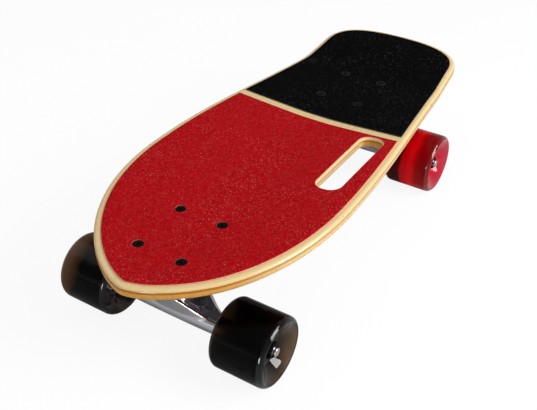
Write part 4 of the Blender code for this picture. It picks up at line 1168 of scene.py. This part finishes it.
def threaded_kingpin(nut_depth, thread_top):
    """A hexagonal head in the baseplate and a shank that passes the nut."""
    tip = -(nut_depth + NUTS["kingpin_nut"][1] + KINGPIN_PROTRUSION)
    shank = [(0, SHANK_TOP), (KINGPIN_RADIUS, SHANK_TOP)]
    shank += thread(KINGPIN_RADIUS, thread_top, tip + KINGPIN_THREAD_FOOT, *KINGPIN_THREAD)
    shank = turned("shank", shank + [(KINGPIN_RADIUS - KINGPIN_CHAMFER, tip), (0, tip)], SMALL)
    head = hexagon("kingpin", NUTS["kingpin_nut"][0], KINGPIN_HEAD, KINGPIN_HEAD_MIDDLE)
    return carve(head, shank, operation="UNION")


def bushing(name, wide, height, flank, narrow, rounding):
    """A bushing from 0 up, with a funnel in the end where it bends."""
    hole = KINGPIN_RADIUS + SEAT_GAP
    return turned(name, [(hole + BUSHING_FUNNEL, 0, FUNNEL_ROUNDING), (wide, 0, 0.0006)] + flank
                  + [(narrow, height, rounding), (hole, height, FUNNEL_ROUNDING)], ROUND)


def build_kingpins():
    stack = stack_heights()
    kingpin = threaded_kingpin(stack["nut"], -stack["road_washer"] + KINGPIN_THREAD_RUN)
    nut = hex_nut("kingpin_nut", KINGPIN_RADIUS)
    wide = bpy.context.scene.cruiser_truck.bushing_radius
    flexing = [BUSHING_BEND * k / 6 for k in range(1, 7)]
    flank = [(wide, z) for z in flexing] + [(wide - inset, z) for inset, z in BUSHING_WAIST]
    barrel = bushing("top_bushing", wide, BARREL_HEIGHT, flank, wide, 0.0009)
    flank = [(wide - CONE_DRAW * (z / BUSHING_BEND) ** 2, z) for z in flexing]
    cone = bushing("road_bushing", wide, CONE_HEIGHT, flank, CONE_RADIUS, 0.0008)
    top_washer = cup_washer(wide, -1)
    road_washer = cup_washer(CONE_RADIUS + ROAD_LIP_ROOM, 1)
    turn_over = Matrix.Rotation(pi, 4, "X")
    for truck in trucks():
        line = truck.kingpin
        down = {key: line @ at(0, 0, -depth) for key, depth in stack.items()}
        for label, mesh, node, slot, place in (
                ("threaded_kingpin", kingpin, "kingpin", "zinc", line),
                ("kingpin_locknut", nut, "kingpin_nut", "zinc", down["nut"] @ turn_over),
                ("upper_washer", top_washer, "top_cup_washer", "zinc", down["top_washer"]),
                ("barrel_bushing", barrel, "top_bushing", "bushing", down["top_bushing"]),
                ("cone_bushing", cone, "road_bushing", "bushing", down["road_bushing"] @ turn_over),
                ("lower_washer", road_washer, "road_cup_washer", "zinc", down["road_washer"])):
            bend = None
            if slot == "bushing":
                bend = ("board", f"{truck.name}_axle_assembly", place @ Vector((0, 0, BUSHING_BEND)),
                        place @ Vector((0, 0, BUSHING_BEND_START)))
            piece(f"{truck.name}_{label}", mesh, f"{truck.name}_{node}", slot, place, bend=bend)


def hollow_side(root_half_width, root_pull, end, end_half_width, end_pull):
    """One side of a web in its own plane, where x runs away from the axle."""
    root = Vector((WEB_START, root_half_width))
    tip = Vector((end, end_half_width))
    side = cubic(root, root - Vector((0, root_pull)), tip + Vector((-end_pull[0], end_pull[1])), tip, 28)
    return side + [tip]


def web_form(thickness, tube_radius):
    """The web from the tube to the bushing ring, with a hollow fillet where it leaves the tube."""
    side = [Vector((0, WEB_ROOT))] + hollow_side(*WEB_SIDE)
    bm = bmesh.new()
    bm.faces.new([bm.verts.new((p.x, p.y, -thickness / 2)) for p in side + mirrored(side)])
    thicken(bm, thickness)
    level = thickness / 2 + WEB_FILLET
    reach = sqrt((tube_radius + WEB_FILLET) ** 2 - level ** 2)
    touch = tube_radius * reach / (tube_radius + WEB_FILLET)
    for k in range(1, WEB_STEPS + 1):
        slice_through(bm, (reach * k / WEB_STEPS, 0, 0), (1, 0, 0))
    for vert in bm.verts:
        along = min(max(vert.co.x, touch), reach)
        height = level - sqrt(WEB_FILLET ** 2 - (reach - along) ** 2)
        vert.co.z = height if vert.co.z > 0 else -height
    return to_mesh(bm, "web")


def wing_form():
    """The wing up to the pivot: rings of four points, bridged one to the next."""
    side = hollow_side(*WING_SIDE)
    bm = bmesh.new()
    rings = []
    for crest in side + mirrored(side):
        corners = [bm.verts.new((x, crest.y, z))
                   for x, z in ((0, -WING_HALF), (crest.x, WING_EDGE), (crest.x, 0.0), (0, WING_HALF))]
        rings.append([bm.edges.new((corners[k], corners[(k + 1) % 4])) for k in range(4)])
    bridge(bm, rings)
    bmesh.ops.edgeloop_fill(bm, edges=rings[0])
    bmesh.ops.edgeloop_fill(bm, edges=rings[-1])
    return to_mesh(bm, "wing")


def facing(away):
    """A frame whose X runs along a direction in the truck's side view and whose Y stays level."""
    side = Vector((0, 1, 0))
    away = away.normalized()
    return Matrix((away, side, away.cross(side))).transposed().to_4x4()


def cast_hanger(sizes):
    """Axle tube, bushing ring, pivot nose, web and wing melted into one casting, then machined."""
    ring_place = kingpin_line(sizes) @ at(0, 0, -stack_heights()["ring_middle"])
    pivot = pivot_line(sizes)
    axle = Vector((AXLE_OFFSET, 0, -sizes.height))
    at_axle = at(*axle)
    half = sizes.hanger_width / 2
    radius = sizes.tube_radius
    end = [(0, half), (radius, half, 0.0009), (radius + TUBE_SWELL, TUBE_MIDDLE)]
    tube = turned("tube", both_ends(end), ROUND, "Y")
    ring = turned("ring", both_ends([(0, RING_HALF + RING_STOCK),
                                     (sizes.ring_radius, RING_HALF + RING_STOCK, 0.0015)]), ROUND)
    ball = PIVOT_BALL_RADIUS
    nose = [(0, ball)] + [(ball * cos(radians(a)), ball * sin(radians(a))) for a in range(80, -46, -10)]
    stem = turned("stem", nose + [*STEM, (0, STEM[-1][1])], SMALL)
    forms = joined("hanger", (tube, at_axle), (ring, ring_place), (stem, pivot),
                   (web_form(sizes.web_thickness, radius), at_axle @ facing(ring_place.translation - axle)),
                   (wing_form(), at_axle @ facing(pivot.translation - axle)))
    casting = melt(forms, HANGER_VOXEL, HANGER_SMOOTHING)
    seat = sizes.bushing_radius + SEAT_ROOM
    tool = turned("seats", both_ends([(0, CUT_REACH), (seat, CUT_REACH), (seat, RING_HALF),
                                      (RING_BORE, RING_HALF, 0.0006)]), ROUND)
    bore = pin("bore", AXLE_RADIUS + SEAT_GAP, sizes.hanger_width, -sizes.hanger_width, "Y")
    return carve(casting, joined("seats", (tool, ring_place)), joined("bore", (bore, at_axle)))


def build_hangers():
    casting = cast_hanger(bpy.context.scene.cruiser_truck)
    for truck in trucks():
        piece(f"{truck.name}_cast_hanger", casting, f"{truck.name}_hanger", "polished", truck.place,
              sharp=50)


def build_axles():
    for name in (FRONT, REAR):
        low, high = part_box(f"{name}_axle")
        half = (high.y - low.y) / 2
        end = [(0, half), (AXLE_RADIUS, half, AXLE_CHAMFER)]
        end += thread(AXLE_RADIUS, half - AXLE_THREAD_START, half - AXLE_THREAD_END, *AXLE_THREAD)
        rod = turned("axle", both_ends(end + [(AXLE_RADIUS, half - AXLE_SHOULDER)]), SMALL, "Y")
        piece(f"{name}_threaded_axle", rod, f"{name}_axle", "steel", at(*(low + high) / 2))
    nut = hex_nut("axle_nut", AXLE_RADIUS)
    for label, side, _ in WHEELS:
        low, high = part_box(f"{label}_axle_nut")
        centre = (low + high) / 2
        inner = low.y if side > 0 else high.y
        place = at(centre.x, inner, centre.z) @ Matrix.Rotation(-side * pi / 2, 4, "X")
        piece(f"{label}_hub_nut", nut, f"{label}_axle_nut", "black_nut", place)


def shielded_race(sizes):
    """A bearing's outer race with its two shields, which stop short of the inner race."""
    outside = sizes.bearing_radius
    half = sizes.bearing_width / 2
    shield = half - SHIELD_DEPTH
    race = turned("race", [(SHIELD_RADIUS, half, 0.0003), (outside, half, 0.0005), (outside, -half, 0.0005),
                           (SHIELD_RADIUS, -half, 0.0003), (SHIELD_RADIUS, -shield),
                           (SHIELD_BORE, -shield, 0.0002), (SHIELD_BORE, shield, 0.0002),
                           (SHIELD_RADIUS, shield)], ROUND, "Y")
    second_finish(race, lambda face: face.center.xz.length < SHIELD_RADIUS and abs(face.normal.y) > 0.5)
    return race


def bearing_sleeve(sizes):
    """Spacer, inner races and speed washers, which the axle nut clamps into one."""
    inner = AXLE_RADIUS + SEAT_GAP
    spacer_end = sizes.spacer / 2
    end = spacer_end + sizes.bearing_width + sizes.washer
    washer_end = end - sizes.washer
    half = [(inner, end, 0.0002), (WASHER_RADIUS, end, 0.0003), (WASHER_RADIUS, washer_end, 0.0002),
            (RACE_RADIUS, washer_end), (RACE_RADIUS, spacer_end, 0.0003), (SPACER_RADIUS, spacer_end)]
    return turned("sleeve", both_ends(half), SMALL, "Y")


def build_bearings():
    sizes = bpy.context.scene.cruiser_wheels
    race = shielded_race(sizes)
    sleeve = bearing_sleeve(sizes)
    for label, _, _ in WHEELS:
        centre = box_centre(f"{label}_wheel")
        piece(f"{label}_hub_sleeve", sleeve, f"{label}_bearing_sleeve", "steel", at(*centre))
        for place in ("outer", "inner"):
            centre = box_centre(f"{label}_{place}_bearing")
            piece(f"{label}_{place}_race", race, f"{label}_{place}_bearing", "bearing", at(*centre), "seal")


def urethane_wheel(sizes, radius, width):
    """Tread, rounded edges, hollow dish, bearing seats and bore, with what the urethane reads."""
    half = width / 2
    seat = sizes.bearing_radius + SEAT_GAP
    floor = sizes.spacer / 2 - SEAT_GAP
    hub_face = sizes.spacer / 2 + sizes.bearing_width + SEAT_GAP
    rounding = sizes.edge_rounding
    side = [(radius, half - rounding - TREAD_FLAT)]
    for angle in range(0, 61, 6):
        turn = radians(angle)
        side.append((radius - rounding * (1 - cos(turn)), half - rounding * (1 - sin(turn))))
    lip = Vector((sizes.lip_radius, half - LIP_DROP))
    hub = Vector((sizes.hub_radius, hub_face + HUB_STEP))
    swell = Vector((hub.y - lip.y, lip.x - hub.x)).normalized() * DISH_SWELL
    side.append((*lip, 0.0008))
    for share in DISH_SHARES:
        side.append(tuple(lip.lerp(hub, share) + swell * 4 * share * (1 - share)))
    side += [(*hub, 0.0010), (seat, hub_face, 0.0004), (seat, floor), (sizes.bore_radius, floor, 0.0003)]
    wheel = turned("wheel", both_ends(side[::-1]), FINE, "Y", 6)
    names = ("thin", "tread", "across")
    for name in names:
        wheel.attributes.new(name, "FLOAT", "POINT")
    thin, tread, across = (wheel.attributes[name].data for name in names)
    for vert in wheel.vertices:
        depth = (abs(vert.co.y) - hub_face) / (half - hub_face)
        reach = vert.co.xz.length
        on_tread = reach > sizes.lip_radius + LIP_REACH
        # How much painted glow each point gets for light coming through the thin wall, less on the inner
        # face
        edge, dish = OUTER_PAINTED_GLOW if vert.co.y > 0 else INNER_PAINTED_GLOW
        if on_tread:
            thin[vert.index].value = edge if depth > 0 else 0
        else:
            thin[vert.index].value = min(max(dish * depth, 0), 1)
        # 1 on the tread, 0.5 on the rounded edges and 0 in the dish
        tread[vert.index].value = 1.0 if reach > radius - TREAD_REACH else 0.5 * on_tread
        across[vert.index].value = vert.co.y / width + 0.5
    return wheel


def build_wheels():
    sizes = bpy.context.scene.cruiser_wheels
    low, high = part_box("front_left_wheel")
    wheel = urethane_wheel(sizes, (high.z - low.z) / 2, high.y - low.y)
    for label, side, slot in WHEELS:
        place = at(*box_centre(f"{label}_wheel")) @ Matrix.Rotation(0 if side > 0 else pi, 4, "Z")
        piece(f"{label}_urethane_wheel", wheel, f"{label}_wheel", slot, place)


# The stage: the floor's glow for camera, transmitted and mirrored rays, and the world's strengths
FLOOR_GLOW = (0.90, 0.10, 0.6)
FLOOR_MIRRORED = (0.08, 0.08, 0.085)
FLOOR_REACH = 6.0
WORLD_SEEN = 0.94
WORLD_LEVEL = 0.44
WHITE = (1.0, 1.0, 1.0)

# The camera, fitted to the photograph
CAMERA_PLACE = (0.55807, 0.31523, 0.48192)
CAMERA_YAW = 3.6886583
CAMERA_PITCH = 0.6251459
CAMERA_ROLL = 0.0152752
SENSOR_WIDTH = 36.0
CAMERA_LENS = 804.132 / 537 * SENSOR_WIDTH


def softbox(name, place, target, size, watts):
    lamp = bpy.data.lights.new(name, "AREA")
    lamp.shape = "RECTANGLE"
    lamp.size, lamp.size_y = size
    lamp.energy = watts
    thing = bpy.data.objects.new(name, lamp)
    thing.location = place
    thing.rotation_euler = (Vector(target) - Vector(place)).to_track_quat("-Z", "Y").to_euler()
    bpy.context.collection.objects.link(thing)


def lay_floor(tone):
    """A wide floor that takes shadows, shows pale to the camera and can't be seen from below."""
    bm = bmesh.new()
    bmesh.ops.create_grid(bm, x_segments=2, y_segments=2, size=FLOOR_REACH)
    mesh = to_mesh(bm, "floor")
    floor = bpy.data.objects.new("floor", mesh)
    bpy.context.collection.objects.link(floor)
    paint = Finish("pale_floor", Roughness=0.9)
    paint.set(Base_Color=tuple(tone))
    seen, through, mirrored_ray = paint.rays()
    glow = paint.mix(mirrored_ray, WHITE, FLOOR_MIRRORED)
    glow = paint.node("ShaderNodeEmission", {"Color": glow})
    share = seen * FLOOR_GLOW[0] + through * FLOOR_GLOW[1] + mirrored_ray * FLOOR_GLOW[2]
    lit = Value(paint, paint.shader.outputs[0])
    mixer = paint.node("ShaderNodeMixShader", {0: share, 1: lit, 2: glow})
    below = paint.node("ShaderNodeNewGeometry", output="Backfacing")
    gone = paint.node("ShaderNodeBsdfTransparent")
    mixer = paint.node("ShaderNodeMixShader", {0: below, 1: mixer, 2: gone})
    paint.feed(paint.tree.nodes["Material Output"].inputs["Surface"], mixer)
    mesh.materials.append(paint.material)


def light_studio(scene):
    """A white studio: its backdrop shows to the camera, and softboxes light the board."""
    scene.world = bpy.data.worlds.new("studio")
    scene.world.use_nodes = True
    sky = Wiring(scene.world.node_tree)
    seen, through, mirrored_ray = sky.rays()
    upwards = sky.node("ShaderNodeSeparateXYZ", {0: sky.node("ShaderNodeTexCoord")}, output=2)
    backdrop = sky.fade(upwards, 0.0, 0.5, 0.42, 0.22)
    direct = 1.0 - seen - through - mirrored_ray
    strength = seen * WORLD_SEEN + through + mirrored_ray * backdrop + direct * WORLD_LEVEL
    background = sky.tree.nodes["Background"]
    background.inputs["Color"].default_value = (*WHITE, 1.0)
    sky.feed(background.inputs["Strength"], strength)
    # Each softbox: its place, what it points at, its width and height, and its watts
    for name, *values in (
            ("key_softbox", (-0.20, 0.90, 0.90), (0.0, 0.0, 0.05), (0.90, 0.32), 9.6),
            ("side_softbox", (-0.14, 1.08, 0.50), (0.18, 0.09, 0.02), (0.52, 0.46), 7.0),
            ("front_strip", (1.25, -0.15, 0.22), (0.2, 0.0, 0.06), (1.7, 0.08), 0.35),
            ("nose_window", (1.25, 0.30, 0.20), (0.24, 0.02, 0.09), (0.22, 0.34), 2.8),
            ("fill_softbox", (0.2, -0.9, 1.0), (0.0, 0.0, 0.05), (1.0, 0.7), 2.8)):
        softbox(name, *values)


def place_camera(scene):
    camera = bpy.data.cameras.new("camera")
    camera.lens = CAMERA_LENS
    camera.sensor_width = SENSOR_WIDTH
    camera.sensor_fit = "HORIZONTAL"
    camera.clip_start = 0.01
    view = bpy.data.objects.new("camera", camera)
    bpy.context.collection.objects.link(view)
    forward = Vector((cos(CAMERA_YAW) * cos(CAMERA_PITCH), sin(CAMERA_YAW) * cos(CAMERA_PITCH),
                      -sin(CAMERA_PITCH)))
    level = Vector((sin(CAMERA_YAW), -cos(CAMERA_YAW), 0))
    up = level.cross(forward)
    right = level * cos(CAMERA_ROLL) + up * sin(CAMERA_ROLL)
    top = up * cos(CAMERA_ROLL) - level * sin(CAMERA_ROLL)
    view.matrix_world = at(*CAMERA_PLACE) @ Matrix((right, top, -forward)).transposed().to_4x4()
    scene.camera = view


def build_stage():
    scene = bpy.context.scene
    scene.view_settings.view_transform = "Standard"
    lay_floor(scene.cruiser_colours.floor)
    light_studio(scene)
    place_camera(scene)


class CRUISER_OT_deck(bpy.types.Operator):
    """Press the deck"""
    bl_idname = "cruiser.deck"
    bl_label = "Deck"

    def execute(self, context):
        build_deck()
        return {"FINISHED"}


class CRUISER_OT_grip_tapes(bpy.types.Operator):
    """Lay the two grip tapes"""
    bl_idname = "cruiser.grip_tapes"
    bl_label = "Grip tapes"

    def execute(self, context):
        build_grip_tapes()
        return {"FINISHED"}


class CRUISER_OT_mounting_bolts(bpy.types.Operator):
    """Make the mounting bolts and their locknuts"""
    bl_idname = "cruiser.mounting_bolts"
    bl_label = "Mounting bolts"

    def execute(self, context):
        build_mounting_bolts()
        return {"FINISHED"}


class CRUISER_OT_baseplates(bpy.types.Operator):
    """Cast the baseplates and fit their pivot cups"""
    bl_idname = "cruiser.baseplates"
    bl_label = "Baseplates"

    def execute(self, context):
        build_baseplates()
        return {"FINISHED"}


class CRUISER_OT_kingpins(bpy.types.Operator):
    """Stack the bushings and washers on the kingpins"""
    bl_idname = "cruiser.kingpins"
    bl_label = "Kingpins"

    def execute(self, context):
        build_kingpins()
        return {"FINISHED"}


class CRUISER_OT_hangers(bpy.types.Operator):
    """Cast and polish the hangers"""
    bl_idname = "cruiser.hangers"
    bl_label = "Hangers"

    def execute(self, context):
        build_hangers()
        return {"FINISHED"}


class CRUISER_OT_axles(bpy.types.Operator):
    """Turn the axles and their nuts"""
    bl_idname = "cruiser.axles"
    bl_label = "Axles"

    def execute(self, context):
        build_axles()
        return {"FINISHED"}


class CRUISER_OT_bearings(bpy.types.Operator):
    """Make the bearings and the sleeves in them"""
    bl_idname = "cruiser.bearings"
    bl_label = "Bearings"

    def execute(self, context):
        build_bearings()
        return {"FINISHED"}


class CRUISER_OT_wheels(bpy.types.Operator):
    """Pour the wheels"""
    bl_idname = "cruiser.wheels"
    bl_label = "Wheels"

    def execute(self, context):
        build_wheels()
        return {"FINISHED"}


class CRUISER_OT_stage(bpy.types.Operator):
    """Set up the floor, the lights and the camera"""
    bl_idname = "cruiser.stage"
    bl_label = "Stage"

    def execute(self, context):
        build_stage()
        return {"FINISHED"}


OPERATORS = (CRUISER_OT_deck, CRUISER_OT_grip_tapes, CRUISER_OT_mounting_bolts, CRUISER_OT_baseplates,
             CRUISER_OT_kingpins, CRUISER_OT_hangers, CRUISER_OT_axles, CRUISER_OT_bearings,
             CRUISER_OT_wheels, CRUISER_OT_stage)


class CRUISER_PT_panel(bpy.types.Panel):
    """The board's pieces, in the order in which they are made"""
    bl_label = "Cruiser skateboard"
    bl_idname = "CRUISER_PT_panel"
    bl_space_type = "VIEW_3D"
    bl_region_type = "UI"
    bl_category = "Cruiser"

    def draw(self, context):
        for operator in OPERATORS:
            self.layout.operator(operator.bl_idname)
        for group in (context.scene.cruiser_deck, context.scene.cruiser_truck,
                      context.scene.cruiser_wheels, context.scene.cruiser_colours):
            box = self.layout.box()
            for size in group.__annotations__:
                box.prop(group, size)


GROUPS = (("cruiser_deck", CruiserDeckSizes), ("cruiser_truck", CruiserTruckSizes),
          ("cruiser_wheels", CruiserWheelSizes), ("cruiser_colours", CruiserColours))


def register():
    for name, group in GROUPS:
        bpy.utils.register_class(group)
        setattr(bpy.types.Scene, name, bpy.props.PointerProperty(type=group))
    for thing in (*OPERATORS, CRUISER_PT_panel):
        bpy.utils.register_class(thing)


def unregister():
    for thing in (CRUISER_PT_panel, *reversed(OPERATORS)):
        bpy.utils.unregister_class(thing)
    for name, group in reversed(GROUPS):
        delattr(bpy.types.Scene, name)
        bpy.utils.unregister_class(group)


def main():
    register()
    bpy.ops.cruiser.deck()
    bpy.ops.cruiser.grip_tapes()
    bpy.ops.cruiser.mounting_bolts()
    bpy.ops.cruiser.baseplates()
    bpy.ops.cruiser.kingpins()
    bpy.ops.cruiser.hangers()
    bpy.ops.cruiser.axles()
    bpy.ops.cruiser.bearings()
    bpy.ops.cruiser.wheels()
    bpy.ops.cruiser.stage()


if __name__ == "__main__":
    main()
